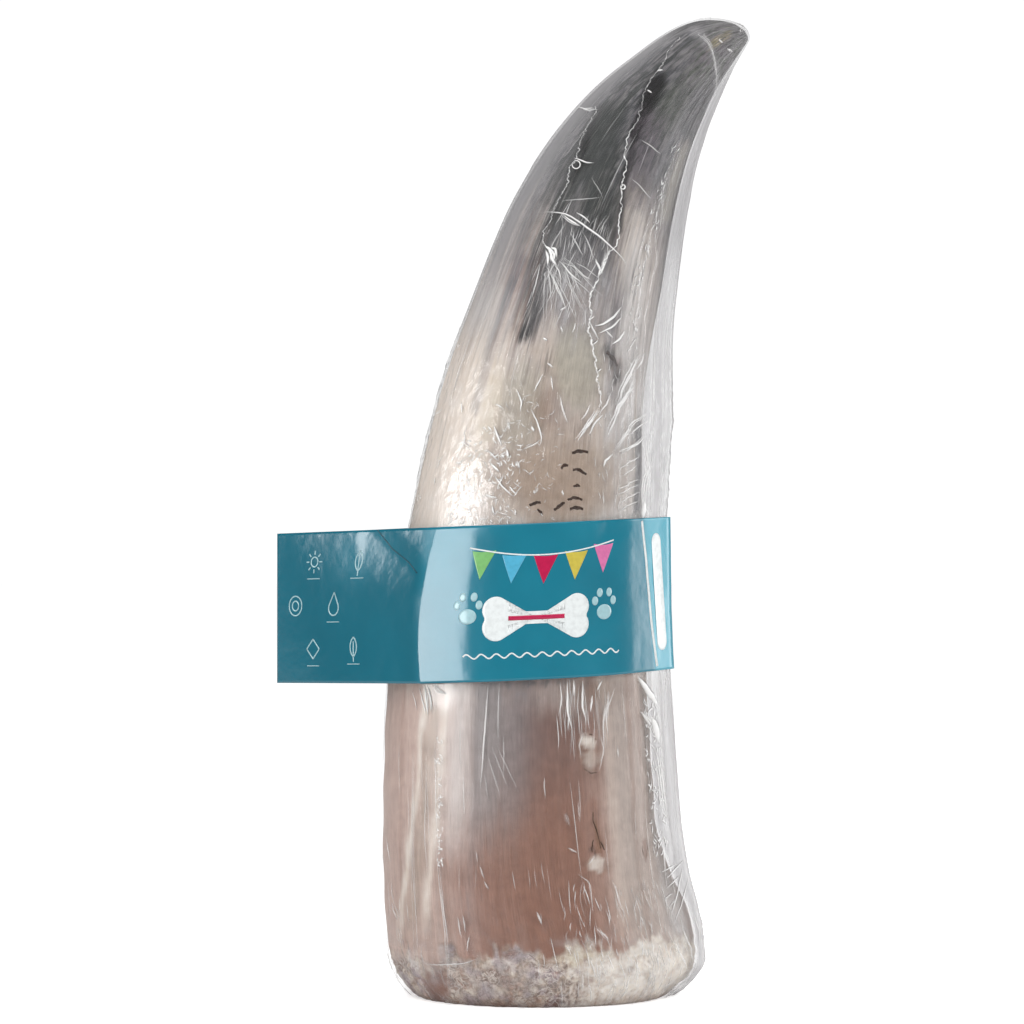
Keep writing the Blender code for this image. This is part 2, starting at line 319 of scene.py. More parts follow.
def new_piece(name, points, quads, tris=(), smooth_shaded=True):
    """Makes a mesh object at the origin from points in mm and arrays of quads and triangles."""
    quads, tris = np.asarray(quads, np.int32).reshape(-1, 4), np.asarray(tris, np.int32).reshape(-1, 3)
    mesh = bpy.data.meshes.new(name)
    mesh.vertices.add(len(points))
    mesh.vertices.foreach_set("co", (np.asarray(points, np.float32) * MM).ravel())
    mesh.loops.add(4 * len(quads) + 3 * len(tris))
    mesh.loops.foreach_set("vertex_index", np.concatenate([quads.ravel(), tris.ravel()]))
    mesh.polygons.add(len(quads) + len(tris))
    starts = np.concatenate([4 * np.arange(len(quads)), 4 * len(quads) + 3 * np.arange(len(tris))])
    mesh.polygons.foreach_set("loop_start", starts)
    mesh.polygons.foreach_set("use_smooth", np.full(len(starts), smooth_shaded))
    mesh.update(calc_edges=True)
    mesh.validate()
    piece = bpy.data.objects.new(name, mesh)
    bpy.context.scene.collection.objects.link(piece)
    print(name, len(points), "points", 2 * len(quads) + len(tris), "triangles")
    return piece


def put_attribute(piece, name, values):
    """Stores one number, vector or colour for each vertex, for the material to read."""
    values = np.asarray(values, np.float32)
    kinds = {1: ("FLOAT", "value"), 3: ("FLOAT_VECTOR", "vector"), 4: ("FLOAT_COLOR", "color")}
    kind, field = kinds[1 if values.ndim == 1 else values.shape[-1]]
    attribute = piece.data.attributes.new(name, kind, "POINT")
    attribute.data.foreach_set(field, values.ravel())


def shell(name, outer, inner, outer_pole, inner_pole):
    """One closed skin with thickness from two grids with the same columns, joined by a rim at the first
    row, each closed at a pole."""
    cols = outer.shape[1]
    n_out, n_in = outer.shape[0] * cols, inner.shape[0] * cols
    points = np.concatenate([outer.reshape(-1, 3), inner.reshape(-1, 3), [outer_pole, inner_pole]])
    j = np.arange(cols)
    k = (j + 1) % cols
    quads = np.concatenate([
        grid_faces(outer.shape[0], cols),
        grid_faces(inner.shape[0], cols, n_out, flip=True),
        np.stack([j, n_out + j, n_out + k, k], -1),
    ])
    last_out, last_in = n_out - cols, n_out + n_in - cols
    tris = np.concatenate([
        np.stack([last_out + j, last_out + k, np.full(cols, n_out + n_in)], -1),
        np.stack([last_in + k, last_in + j, np.full(cols, n_out + n_in + 1)], -1),
    ])
    return new_piece(name, points, quads, tris)


# %% Materials from nodes
def linear(hex_colour, alpha=1.0):
    """An sRGB hex colour as linear light: c / 12.92 below 0.04045, else ((c + 0.055) / 1.055) to the power
    2.4."""
    c = np.array([int(hex_colour[i:i + 2], 16) / 255 for i in (1, 3, 5)])
    c = np.where(c <= 0.04045, c / 12.92, ((c + 0.055) / 1.055) ** 2.4)
    return (*c.tolist(), alpha)


def new_material(name):
    """Makes an empty material and returns it with its node tree."""
    material = bpy.data.materials.new(name)
    material.use_nodes = True
    tree = material.node_tree
    tree.nodes.clear()
    return material, tree


def node(tree, kind, links=None, **settings):
    """Adds a node of a kind named as in its type after ShaderNode. A setting named as an attribute of the
    node sets that, any other names an input. links maps an input to what feeds it: an output, a node for
    its first output, or a value."""
    made = tree.nodes.new("ShaderNode" + kind)
    for key, value in settings.items():
        if hasattr(made, key):
            setattr(made, key, value)
        else:
            made.inputs[key.replace("_", " ")].default_value = value
    for key, source in (links or {}).items():
        if isinstance(source, bpy.types.Node):
            source = source.outputs[0]
        if isinstance(source, bpy.types.NodeSocket):
            tree.links.new(source, made.inputs[key])
        else:
            made.inputs[key].default_value = source
    return made


print("middle grey", linear("#808080"))

# %% [markdown]
# ## The horn
# Horn is keratin laid down in sheaths: fibres run up it, growth rings run round it, and the sawn base is
# rough and crusted where it sat on the skull. Shops scrape the outside smooth, so the grooves left are
# shallow. The surface is the table's ellipse, less the rounded edge of the base, less long ridges, faint
# rings, fibres and the crust. It is made as one closed shell with its hollow, like the CAD solid that it
# replaces.

# %% The horn's surface
# Loose white flakes: x, y, half width and half height in pixels, and how far their edges wander
FLAKES, FLAKE_RAGGED, FLAKE_HIGH = ((588, 742, 8, 6), (592, 759, 8, 12), (598, 863, 8, 7)), 4.5, 0.45
# The CAD horn is this much slimmer than the real one, to keep a gap to the film's solid
HORN_SWELL = 0.62


def relief(th, h, a):
    """Depth below the plain surface: long shallow ridges and faint growth rings low down."""
    ridges = 0.32 * (0.5 + 0.5 * np.cos(9 * th + 1.1 * np.sin(h / 38.0)))
    ridges = ridges + 0.30 * (0.5 + 0.5 * np.cos(5 * th - 0.8 + h / 85.0))
    rings = 0.24 * (0.5 + 0.5 * np.cos(TAU * h / 15.0 + 0.7 * np.sin(3 * th)))
    rings = rings * smooth(14, 26, h) * (1 - smooth(66, 96, h))
    return np.minimum(1, a / 14.0) * (ridges * smooth(4, 30, h) + rings)


def crust_band(grain, h):
    """1 on the ragged crust round the foot, 0 above it. It is higher to +X, and its top wanders with noise
    of 20 mm and 6 mm, and frays along the fibres."""
    x = grain[..., 0]
    top = 12.4 + 5.5 * smooth(6, 36, x) + 2.5 * np.exp(-((x - 9) / 9) ** 2)
    top = top + 4.0 * noise(grain * 0.05, 31) + 4.5 * noise(grain * 0.16, 32)
    top = top + 1.2 * noise(grain * 0.5, 33) + 2.6 * noise(grain * (0.7, 0.7, 0.08), 34)
    return 1 - smooth(top - 2.0, top + 1.5, h)


def crust_depth(grain, h):
    """Depth of the crust's pits: fractal noise of 5 mm down to 0.6 mm, with sharp valleys from its absolute
    value."""
    pits = np.clip(0.45 + 0.6 * fractal(grain * (0.22, 0.22, 0.3), 4, 41, 0.6), 0, 1)
    pits = pits + 0.5 * ridged(grain * 0.45, 3.0, 45)
    return 0.85 * pits * crust_band(grain, h)


def blob(x, y, at_x, at_y, wide, tall, turn=0.0, soft=0.4):
    """1 inside an ellipse turned by some degrees, 0 outside, soft over a share of its radius."""
    c, s = math.cos(math.radians(turn)), math.sin(math.radians(turn))
    u = ((x - at_x) * c + (y - at_y) * s) / wide
    v = ((y - at_y) * c - (x - at_x) * s) / tall
    return 1 - smooth(1 - soft, 1 + soft, np.hypot(u, v))


def flake_lift(th, t, plain):
    """How far the loose white flakes of the horn's skin stand up, seen where the photograph has them."""
    x, y = seen(plain)
    ragged = FLAKE_RAGGED * noise(plain * 0.45, 35), FLAKE_RAGGED * noise(plain * 0.45, 36)
    lift = sum(blob(x + ragged[0], y + ragged[1], *flake, soft=0.5) for flake in FLAKES)
    return FLAKE_HIGH * np.clip(lift, 0, 1) * (np.sin(th) < -0.2)


def bend_filled(th, h, a, b):
    """How much further out the horn stands at +X, where its crusted foot and its tip fill a share of the
    film's bend: of the gap between the ellipse and the straight run that goes from x = a a / e to the edge
    at e."""
    share = 0.70 * (1 - smooth(20, 46, h)) + 0.45 * smooth(150, 190, h) * (1 - smooth(230, 241, h))
    a, b = np.maximum(a - edge_round(h), 1e-6), np.maximum(b - edge_round(h), 1e-6)
    e = a + np.interp(h, WEB_H, WEB_W) * np.clip(a, 0, 1)
    tx, ty = a * a / e, b * np.sqrt(np.maximum(1 - (a / e) ** 2, 0))
    c, deep = np.cos(th), b * np.abs(np.sin(th))
    gap = tx + (e - tx) * (1 - deep / np.maximum(ty, 1e-9)) - a * c
    return share * np.where((c > 0) & (deep < ty), gap, 0) / np.maximum(c, 0.2)


def horn_surface(th, t):
    """The horn's outer skin: the ellipse less everything that lies below it."""
    a, b = station(t)[4:]
    h = spline(STATIONS[:, 1], t)
    grain = straight(th, np.interp(t, DENSE_T, DENSE_S))
    fibres = 0.10 * np.clip(1 + noise(grain * (0.55, 0.55, 0.014), 11), 0, 2)
    fibres = fibres + 0.05 * np.clip(1 + noise(grain * (1.3, 1.3, 0.03), 12), 0, 2)
    down = edge_round(h) + relief(th, h, a) + crust_depth(grain, h) + fibres * np.minimum(1, a / 14.0)
    down = down - flake_lift(th, t, ring_points(th, t, a, b)) - HORN_SWELL * np.minimum(1, a / 2.0)
    wide = np.maximum(a - down, 0) + bend_filled(th, h, a, b)
    return ring_points(th, t, wide, np.maximum(b - down, 0))


print(len(FLAKES), "flakes", FLAKE_HIGH, "mm high, and the skin swells by", HORN_SWELL, "mm")


# %% The horn's rows, tip and hollow
def dense_in_front(count, share=0.3):
    """Angles round the horn, closer together at the front (270 degrees): f - share sin(f - 270 degrees)."""
    f = np.arange(count) * TAU / count
    return (f - share * np.sin(f - 1.5 * math.pi))[None, :]


# Rows lie closer together on the crusted foot and on the tip
HORN_COLS, FOOT_MM, TIP_MM = 300, 20, 14
horn_th = dense_in_front(HORN_COLS)
foot_rows = np.linspace(0, FOOT_MM, 40)[:-1]
middle_rows = np.linspace(FOOT_MM, DENSE_S[-1] - TIP_MM, 246)[:-1]
tip_rows = DENSE_S[-1] - TIP_MM * (1 - np.sin(np.linspace(0, 0.5 * math.pi, 28)[:-1]))
length = np.concatenate([foot_rows, middle_rows, tip_rows])
horn_t = t_along(length)[:, None]
horn_out = horn_surface(horn_th, horn_t)
horn_out[0, :, 2] = 0.0
TIP_LEAN, TIP_PAST = math.radians(56), 0.5
TIP_WAY = np.array([math.sin(TIP_LEAN), 0, math.cos(TIP_LEAN)])
horn_tip = ring_points(0.0, float(LAST), 0.0, 0.0) + TIP_PAST * TIP_WAY

# The hollow: height and half width, open at the base
HOLLOW_H = np.array([0, 12, 30, 48, 66, 84, 100, 114, 126, 137, 146, 152.5, 156.5])
HOLLOW_A = np.array([27.4, 27.6, 27.6, 26.9, 25.4, 23.2, 20.4, 17.2, 13.9, 10.4, 7.0, 4.0, 1.8])
HOLLOW_TOP, HOLLOW_DEEP, HOLLOW_SHIFT = 157.6, 0.915, np.array([0.6, 0, 0])
horn_in = ring_points(horn_th, t_at(HOLLOW_H)[:, None], HOLLOW_A[:, None], HOLLOW_A[:, None] * HOLLOW_DEEP)
horn_in = horn_in - HOLLOW_SHIFT
horn_in[0, :, 2] = 0.0
hollow_end = ring_points(0.0, t_at(HOLLOW_TOP), 0.0, 0.0) - HOLLOW_SHIFT
horn = shell("horn_keratin", horn_out, horn_in, horn_tip, hollow_end)

# %% [markdown]
# ## The horn's colours
# Pigment runs along the fibres: almost black at the tip, streaked where it meets the cream of the middle,
# and a clear brown low down where the wall is thin. Its borders wander up and down with the fibres.
# Painting an image would fix the marks to one size of mesh. Here each colour is laid over the last by a
# mask worked out for every vertex, and the material then breaks the masks up with finer fibres.

# %% Pigments and masks
PIGMENT = {
    "cream": "#e4d7cb", "pearl": "#ded9d6", "taupe": "#ab9e98", "slate": "#5b5a5f", "charcoal": "#3a3d3c",
    "soot": "#161517", "mauve": "#655d64", "umber": "#8e6757", "rosewood": "#c3a69a", "stone": "#b4a79f",
    "olive": "#b7b0a3", "straw": "#d4c8b4", "beige": "#b3a191", "rust": "#80604a", "chalk": "#f6efe6",
    "lilac": "#a79aa0", "steel": "#9a9a9b", "moss": "#4c5346", "ochre": "#a39256", "ash": "#8f8b8c",
    "inside": "#a08e7c", "ivory": "#f7eade",
}
n_out = horn_out.shape[0] * HORN_COLS
th_out = np.broadcast_to(horn_th, horn_out.shape[:2]).ravel()
s_out = np.broadcast_to(length[:, None], horn_out.shape[:2]).ravel()
h_out = spline(STATIONS[:, 1], t_along(s_out))
grain_out = straight(th_out, s_out)


def fibre(across, along, seed):
    """Noise whose hills are so many mm across the fibres and so many along them."""
    return noise(grain_out / (across, across, along), seed)


wander = 16 * fibre(4.0, 90, 51) + 9 * fibre(1.6, 50, 52)
px, py = seen(horn_out.reshape(-1, 3))
px = px + 3.0 * fibre(2.0, 12, 53)
py = py + 9.0 * fibre(1.2, 30, 54)
in_front = smooth(-0.05, 0.25, -np.sin(th_out))
side = np.cos(th_out) + 0.10 * fibre(9, 120, 55)
colour = np.broadcast_to(linear(PIGMENT["cream"])[:3], (n_out, 3)).copy()


def lay(name, mask):
    """Lays a pigment over the colour so far: colour + (pigment - colour) mask."""
    colour[:] = colour + (np.array(linear(PIGMENT[name])[:3]) - colour) * np.clip(mask, 0, 1)[:, None]


def mark(path, half_wide, soft):
    """Mask along a line of pixels with a half width at each end: 1 near it, 0 away from it, only in front."""
    path = np.asarray(path, float)
    best = np.zeros(len(px))
    lengths = np.concatenate([[0], np.cumsum(np.hypot(*np.diff(path, axis=0).T))])
    for k, (a, b) in enumerate(zip(path[:-1], path[1:])):
        d = b - a
        f = np.clip(((px - a[0]) * d[0] + (py - a[1]) * d[1]) / (d @ d), 0, 1)
        away = np.hypot(px - a[0] - f * d[0], py - a[1] - f * d[1])
        wide = np.interp(lengths[k] + f * (lengths[k + 1] - lengths[k]), [0, lengths[-1]], half_wide)
        best = np.maximum(best, 1 - smooth(1 - soft, 1 + soft, away / np.maximum(wide, 0.1)))
    return best * in_front


def patch(*args, **more):
    """A blob that only the front has."""
    return blob(px, py, *args, **more) * in_front


print(len(PIGMENT), "pigments for", n_out, "points")

# %% Broad colours of the middle, the foot and the tip
# The middle: pearl to the right, stone in the front, all streaked
lay("pearl", smooth(0.2, 0.75, side) * smooth(88, 120, h_out))
lay("stone", (1 - smooth(0.35, 0.8, np.abs(side + 0.05))) * 0.75 * smooth(80, 110, h_out))
lay("taupe", smooth(0.05, 0.5, fibre(3.0, 50, 61)) * smooth(130, 172, h_out + wander) * 0.8)
lay("mauve", smooth(0.2, 0.6, fibre(2.4, 40, 62)) * smooth(150, 188, h_out + wander) * 0.75)
lay("cream", smooth(0.1, 0.6, fibre(2.6, 40, 63)) * smooth(120, 150, h_out) * 0.75)
above_band, below_tip = smooth(96, 120, h_out), 1 - smooth(160, 180, h_out)
lay("pearl", smooth(0.15, 0.6, fractal(grain_out * 0.07, 3, 67)) * above_band * 0.5)
lay("beige", smooth(0.1, 0.55, fractal(grain_out * 0.09, 3, 68)) * above_band * below_tip * 0.4)
# The foot: clear brown in front and behind, rosy at the left, grey at the right
low = 1 - smooth(76, 98, h_out + 0.6 * wander)
lay("rosewood", low * 0.9)
lay("umber", low * smooth(-0.72, -0.38, side) * (1 - smooth(0.4, 0.78, side)))
lay("stone", low * smooth(0.5, 0.85, side) * 0.8)
lay("slate", low * smooth(40, 78, h_out) * (1 - smooth(0.1, 0.5, np.abs(side + 0.12))) * 0.35)
plain_foot = low * (1 - 0.85 * patch(545, 810, 66, 165, soft=0.4))
lay("rosewood", plain_foot * smooth(0.15, 0.5, fibre(4.5, 400, 69)) * 0.45)
lay("umber", plain_foot * smooth(0.15, 0.5, fibre(3.5, 400, 70)) * 0.4)
lay("stone", plain_foot * smooth(0.2, 0.5, fibre(2.0, 300, 74)) * 0.25)
lay("slate", low * patch(556, 725, 56, 62, soft=0.9) * 0.32)
# The dark tip
tip = smooth(170, 207, h_out + wander)
lay("slate", tip)
lay("charcoal", tip * smooth(-0.35, 0.25, fibre(5, 60, 64) + 0.25 * fibre(1.5, 12, 65)) * 0.85)
lay("ash", tip * smooth(0.05, 0.5, fibre(1.6, 9, 66) + 0.5 * fibre(5.0, 30, 75)) * 0.4)
tip_mottle = fractal(grain_out * (0.45, 0.45, 0.3), 3, 76, 0.7)
lay("ash", tip * smooth(0.05, 0.45, tip_mottle) * 0.55)
lay("charcoal", tip * smooth(0.05, 0.45, -tip_mottle) * 0.6)
print("mean colour so far", colour.mean(0).round(3))

# %% Marks that only the front shows, as tables
# Laid in this order: pigment, kind, place, softness, and strength as a number or a mask. A patch's place is
# its middle, half width and half height in pixels, and its turn in degrees. A mark's is its line of pixels
# and the half width at each end.
tip_share = 0.25 + 0.5 * smooth(-0.2, 0.2, tip_mottle)
UPPER_MARKS = (
    ("stone", patch, (640, 275, 26, 75), 0.6, 0.7),
    ("cream", patch, (636, 266, 14, 56), 0.9, (0.35 + 0.65 * smooth(-0.2, 0.2, fibre(1.4, 30, 87)))),
    ("charcoal", mark, (((612, 118), (596, 160), (600, 225)), (15, 17)), 0.6, 0.9),
    ("charcoal", mark, (((598, 112), (578, 165), (556, 220), (545, 262)), (9, 10)), 0.6, 0.8),
    # painted shadow beside the right weld bead, to its right
    ("soot", mark, (((658, 82), (650, 97), (643, 113), (635, 134)), (9, 5)), 0.5, 1.0),
    ("moss", patch, (672, 108, 14, 30, 24), 0.8, 0.5),
    # painted shadow beside the right weld bead, lower down
    ("soot", mark, (((636, 140), (625, 180), (619, 232)), (3.5, 3)), 0.6, 0.8),
    # painted shadow beside the left weld bead, to its right
    ("soot", mark, (((599, 110), (586, 140), (573, 185)), (3.5, 2.5)), 0.6, 0.7),
    ("mauve", mark, (((652, 122), (643, 160), (638, 200)), (13, 10)), 0.9, tip_share),
    ("olive", mark, (((688, 150), (676, 180), (668, 215)), (7, 8)), 0.7, 0.7),
    ("mauve", mark, (((560, 300), (566, 330)), (8, 5)), 0.8, 0.5),
    ("mauve", mark, (((622, 300), (614, 345), (612, 395)), (9, 6)), 0.8, 0.4),
    ("pearl", patch, (634, 305, 13, 76, 2), 0.6, 0.75),
    ("olive", patch, (577, 366, 24, 44, -3), 0.3, 0.95),
    ("stone", patch, (500, 420, 24, 26), 0.7, 0.6),
    ("olive", patch, (520, 410, 22, 48, 6), 0.4, 0.8),
    ("straw", patch, (487, 405, 14, 46, 8), 0.5, 0.9),
    ("straw", patch, (470, 385, 9, 60, 14), 0.6, 0.5),
    ("mauve", mark, (((520, 262), (505, 318), (486, 366), (474, 410)), (9, 4)), 0.9, 0.85),
    ("slate", mark, (((512, 280), (494, 340), (480, 380), (473, 408)), (3.5, 2.5)), 0.9, 0.95),
    ("slate", mark, (((492, 330), (482, 352)), (2.5, 2)), 0.8, 0.5),
    ("rust", patch, (548, 412, 15, 22), 0.7, 0.45),
    ("beige", patch, (562, 482, 66, 40), 0.5, 0.85),
    ("rust", patch, (560, 500, 44, 20), 0.8, 0.25),
    ("rust", patch, (616, 370, 7, 13), 0.6, 0.55),
    ("soot", mark, (((607, 352), (615, 368), (617, 380)), (6, 4)), 0.7, 0.8),
    ("slate", mark, (((638, 426), (639, 470), (637, 512)), (4.5, 3.5)), 0.5, 0.85),
    ("charcoal", mark, (((543, 252), (536, 300), (524, 334)), (15, 8)), 0.9, 0.8),
    ("soot", mark, (((545, 256), (541, 282), (535, 306), (525, 334)), (10, 7)), 0.6, 1.0),
    ("soot", mark, (((530, 262), (520, 300), (512, 330)), (2, 2)), 0.7, 0.4),
    ("soot", patch, (537, 288, 9, 32, 10), 0.6, 0.95),
    ("umber", patch, (506, 285, 30, 75, 14), 0.7, smooth(-0.1, 0.35, fibre(1.3, 26, 89)) * 0.42),
    ("mauve", patch, (506, 290, 26, 70, 14), 0.7, smooth(0.1, 0.45, fibre(1.1, 22, 91)) * 0.5),
    ("mauve", patch, (612, 285, 15, 62, 5), 0.7, smooth(-0.05, 0.35, fibre(1.1, 22, 92)) * 0.6),
    ("slate", patch, (576, 250, 26, 26), 0.7, 0.9),
    ("charcoal", patch, (574, 248, 24, 26), 0.9, 0.6),
    ("ash", patch, (575, 292, 34, 42), 0.8, 0.35),
)
LOWER_MARKS = (
    ("rust", patch, (545, 440, 66, 60), 0.6, 0.22),
    ("taupe", patch, (575, 692, 45, 22), 0.7, 0.8),
    ("rust", patch, (598, 690, 26, 12), 0.8, 0.5),
    # painted shadow: a mottled dark strip just under the band's lower edge
    ("slate", patch, (520, 686, 56, 9), 0.9, smooth(-0.1, 0.35, fractal(grain_out * 0.35, 3, 88)) * 0.8),
    ("umber", mark, (((592, 808), (597, 850)), (6, 8)), 0.9, 0.6),
    ("umber", patch, (428, 872, 32, 60), 0.9, 0.42),
    ("pearl", patch, (682, 904, 15, 44, -12), 0.8, 0.8),
    ("pearl", patch, (484, 307, 18, 30, 14), 0.8, 0.65),
    ("taupe", patch, (578, 304, 26, 16), 0.8, 0.5),
    ("rust", mark, (((594, 825), (600, 846)), (3.5, 4.5)), 0.9, 0.9),
    ("soot", mark, (((590, 850), (596, 855)), (2.0, 2.0)), 0.6, 0.6),
    ("umber", mark, (((643, 840), (645, 857)), (1.6, 1.8)), 0.8, 0.6),
)
print(len(UPPER_MARKS) + len(LOWER_MARKS), "marks")


# %% Laying the marks and the flakes
def lay_marks(rows):
    """Lays each row's pigment by its kind of mask times its strength."""
    for name, kind, place, soft, share in rows:
        lay(name, kind(*place, soft=soft) * share)


lay_marks(UPPER_MARKS)
# Painted light: the middle's left side is painted paler ivory, where the left light falls on it
painted_light_left = smooth(0.35, 0.8, -side) * smooth(84, 104, h_out)
lay("ivory", painted_light_left * (1 - smooth(150, 175, h_out + wander)) * 0.8)
lay_marks(LOWER_MARKS)
plain_x, plain_y = seen(horn_out.reshape(-1, 3))
ragged_x = plain_x + FLAKE_RAGGED * noise(horn_out.reshape(-1, 3) * 0.45, 35)
ragged_y = plain_y + FLAKE_RAGGED * noise(horn_out.reshape(-1, 3) * 0.45, 36)
# Each flake is chalky, with a brown rim 3 pixels wide moved 2 pixels down: a painted shadow under the flake
for (x, y, wide, tall), white in zip(FLAKES, (0.75, 0.35, 0.75)):
    lay("rust", blob(ragged_x, ragged_y - 2, x, y, wide + 3, tall + 3) * in_front * 0.4)
    lay("chalk", blob(ragged_x, ragged_y, x, y, wide, tall) * in_front * white)
print("mean colour with the marks", colour.mean(0).round(3))

# %% The cap, and the soft bands of the foot
# The cap beyond the collar is dull and mottled
cap = smooth(690, 716, px + 0.5 * (py - 40)) * (1 - smooth(74, 96, py)) * in_front
lay("ash", cap * 0.45)
speckle = fractal(grain_out * 0.35, 3, 77, 0.7)
lay("moss", cap * smooth(0.0, 0.4, speckle) * 0.9)
lay("mauve", cap * smooth(0.1, 0.5, -speckle) * 0.8)
lay("soot", cap * smooth(0.15, 0.5, fractal(grain_out * 0.5, 2, 78)) * 0.7)
lay("ochre", patch(716, 42, 6, 3.5, -30, soft=0.9) * 0.55)
lay("ochre", patch(727, 36, 3, 5, 40, soft=0.9) * 0.45)
lay("straw", patch(718, 40, 2.5, 1.5, -30, soft=0.9) * 0.7)
# Soft upright bands of the foot, from the left
for middle, half, name, share in (
    (396, 9, "rosewood", 0.5), (413, 3, "cream", 1.0), (424, 7, "beige", 0.6), (436, 4, "cream", 0.8),
    # the pearl band at x 455 is a painted highlight: the left softbox seen through the film
    (455, 14, "pearl", 0.55), (474, 5, "slate", 0.3), (486, 16, "steel", 0.6), (512, 16, "ash", 0.5),
    (614, 5, "cream", 0.3), (628, 9, "stone", 0.5), (600, 4, "umber", 0.3),
):
    # The bands fan out to the foot, as the horn does: by 0.15 for each row below 812, 150 pixels off its
    # middle
    band = np.exp(-((px - 0.15 * (py - 812) * (middle - 530) / 150 - middle) / (1.1 * half)) ** 2)
    fade = 1 - smooth(800, 885, py) if name in ("steel", "ash", "pearl") else 1 - smooth(900, 950, py)
    lay(name, band * fade * in_front * low * share)
lay("umber", patch(528, 880, 60, 62, soft=0.7) * 0.55)
print("mean colour with the bands", colour.mean(0).round(3))

# %% The crust's colour, and what the material reads
crust_out = crust_band(grain_out, h_out)
mottle = fractal(grain_out * 0.22, 3, 71, 0.6)
cloudy = fractal(grain_out * 0.14, 3, 79)
lay("beige", crust_out * 0.9)
lay("taupe", crust_out * smooth(0.0, 0.25, -mottle) * 0.8)
lay("lilac", crust_out * smooth(0.0, 0.25, cloudy - 0.35 * smooth(0.2, 0.6, side)) * 0.75)
lay("umber", crust_out * smooth(0.25, 0.45, -cloudy) * (1 - smooth(0.2, 0.5, side)) * 0.5)
lay("chalk", crust_out * smooth(0.05, 0.3, mottle) * (0.35 + 0.5 * smooth(-0.1, 0.5, side)))
lay("chalk", crust_out * smooth(0.15, 0.55, side) * 0.9)
# Painted shade in the deepest pits of the crust, less to +X
lay("umber", smooth(0.60, 0.95, crust_depth(grain_out, h_out)) * (0.6 - 0.4 * smooth(0.15, 0.5, side)))
cream_band = patch(568, 951, 34, 13, soft=0.5)
lay("straw", crust_out * cream_band * 0.7)
lay("umber", crust_out * (1 - smooth(0.6, 4.0, h_out)) * 0.35)
lay("taupe", patch(492, 978, 44, 16, soft=0.8) * crust_out * 0.45)
curly = np.clip(0.25 + smooth(-0.1, 0.3, fractal(grain_out * 0.12, 2, 86)), 0, 1) * (1 - 0.9 * cream_band)
curly = curly * (1 - 0.6 * smooth(0.15, 0.5, side))
window = patch(438, 984, 12, 17, soft=0.35)
lay("umber", window * 0.9)

n_all = len(horn.data.vertices)
colours = np.tile(linear(PIGMENT["inside"]), (n_all, 1))
colours[:n_out, :3] = colour
colours[-2, :3] = colour[n_out - HORN_COLS:].mean(0)
put_attribute(horn, "pigment", colours)
inner_s = np.broadcast_to(HOLLOW_H[:, None], horn_in.shape[:2]).ravel()
inner_th = np.broadcast_to(horn_th, horn_in.shape[:2]).ravel()
ends = straight(np.array([0, 0]), np.array([DENSE_S[-1], 160]), 2.0)
put_attribute(horn, "grain", np.concatenate([grain_out, straight(inner_th, inner_s), ends]))
streaked = np.zeros(n_all)
patchy = 0.35 + 0.65 * smooth(-0.15, 0.35, fractal(grain_out * (0.12, 0.12, 0.04), 3, 56))
plain_spots = (1 - 0.75 * patch(577, 366, 24, 44)) * (1 - 0.6 * patch(520, 410, 22, 48))
streaked[:n_out] = smooth(128, 166, h_out + wander) * patchy * plain_spots
streaked[:n_out] *= 1 - 0.75 * smooth(188, 212, h_out)
put_attribute(horn, "streaked", streaked)
crusted = np.zeros(n_all)
crusted[:n_out] = crust_out * (1 - window)
put_attribute(horn, "crusted", crusted)
put_attribute(horn, "curly", np.concatenate([crusted[:n_out] * curly, np.zeros(n_all - n_out)]))
print("mean colour of the horn", colour.mean(0).round(3))

# %% [markdown]
# ## The horn's material
# The real surface is scraped and lightly polished keratin. Its fibres are 0.2 to 0.5 mm wide and run for
# centimetres, so the noise is stretched along the horn: its points are the grain attribute, a straight
# cylinder in mm, not the bent horn. Keratin's index of refraction is near 1.55, lowered to 1.5 to match,
# and a scraped finish gives a roughness near 0.4.

# %% Scraped keratin
horn_material, tree = new_material("scraped_keratin")
pigment = node(tree, "Attribute", attribute_name="pigment").outputs["Color"]
grain = node(tree, "Attribute", attribute_name="grain").outputs["Vector"]
streak_share, crust_share, curly_share = (
    node(tree, "Attribute", attribute_name=name).outputs["Fac"] for name in ("streaked", "crusted", "curly"))
# Fine fibres of 0.34 by 8 mm, and broad ones of 1 by 15 mm
fine_grain = node(tree, "Mapping", {"Vector": grain}, Scale=(1 / 0.34, 1 / 0.34, 1 / 8))
fine = node(tree, "TexNoise", {"Vector": fine_grain}, Scale=1.0, Detail=5, Roughness=0.6)
broad_grain = node(tree, "Mapping", {"Vector": grain}, Scale=(1.0, 1.0, 1 / 15))
broad = node(tree, "TexNoise", {"Vector": broad_grain}, Scale=1.0, Detail=5, Roughness=0.6)
scuffs = node(tree, "TexNoise", {"Vector": grain}, Scale=0.35, Detail=6.0, Roughness=0.65)
# Dark fibres where the broad noise is high, pale ones where the fine noise is high, both only where streaked
dark = node(tree, "MapRange", {"Value": broad}, From_Min=0.52, From_Max=0.68, To_Max=0.75)
dark_share = node(tree, "Math", {0: dark, 1: streak_share}, operation="MULTIPLY")
pale = node(tree, "MapRange", {"Value": fine}, From_Min=0.52, From_Max=0.70, To_Max=0.6)
pale_share = node(tree, "Math", {0: pale, 1: streak_share}, operation="MULTIPLY")
with_dark = node(tree, "Mix", {0: dark_share, 6: pigment, 7: linear("#3a3537")}, data_type="RGBA")
with_pale = node(
    tree, "Mix", {0: pale_share, 6: with_dark.outputs[2], 7: linear("#d9d3cf")}, data_type="RGBA")
fine_grey = node(tree, "MapRange", {"Value": fine}, From_Min=0.3, From_Max=0.7, To_Min=0.34, To_Max=0.66)
with_fibres = node(
    tree, "Mix", {6: with_pale.outputs[2], 7: fine_grey}, data_type="RGBA", blend_type="OVERLAY")
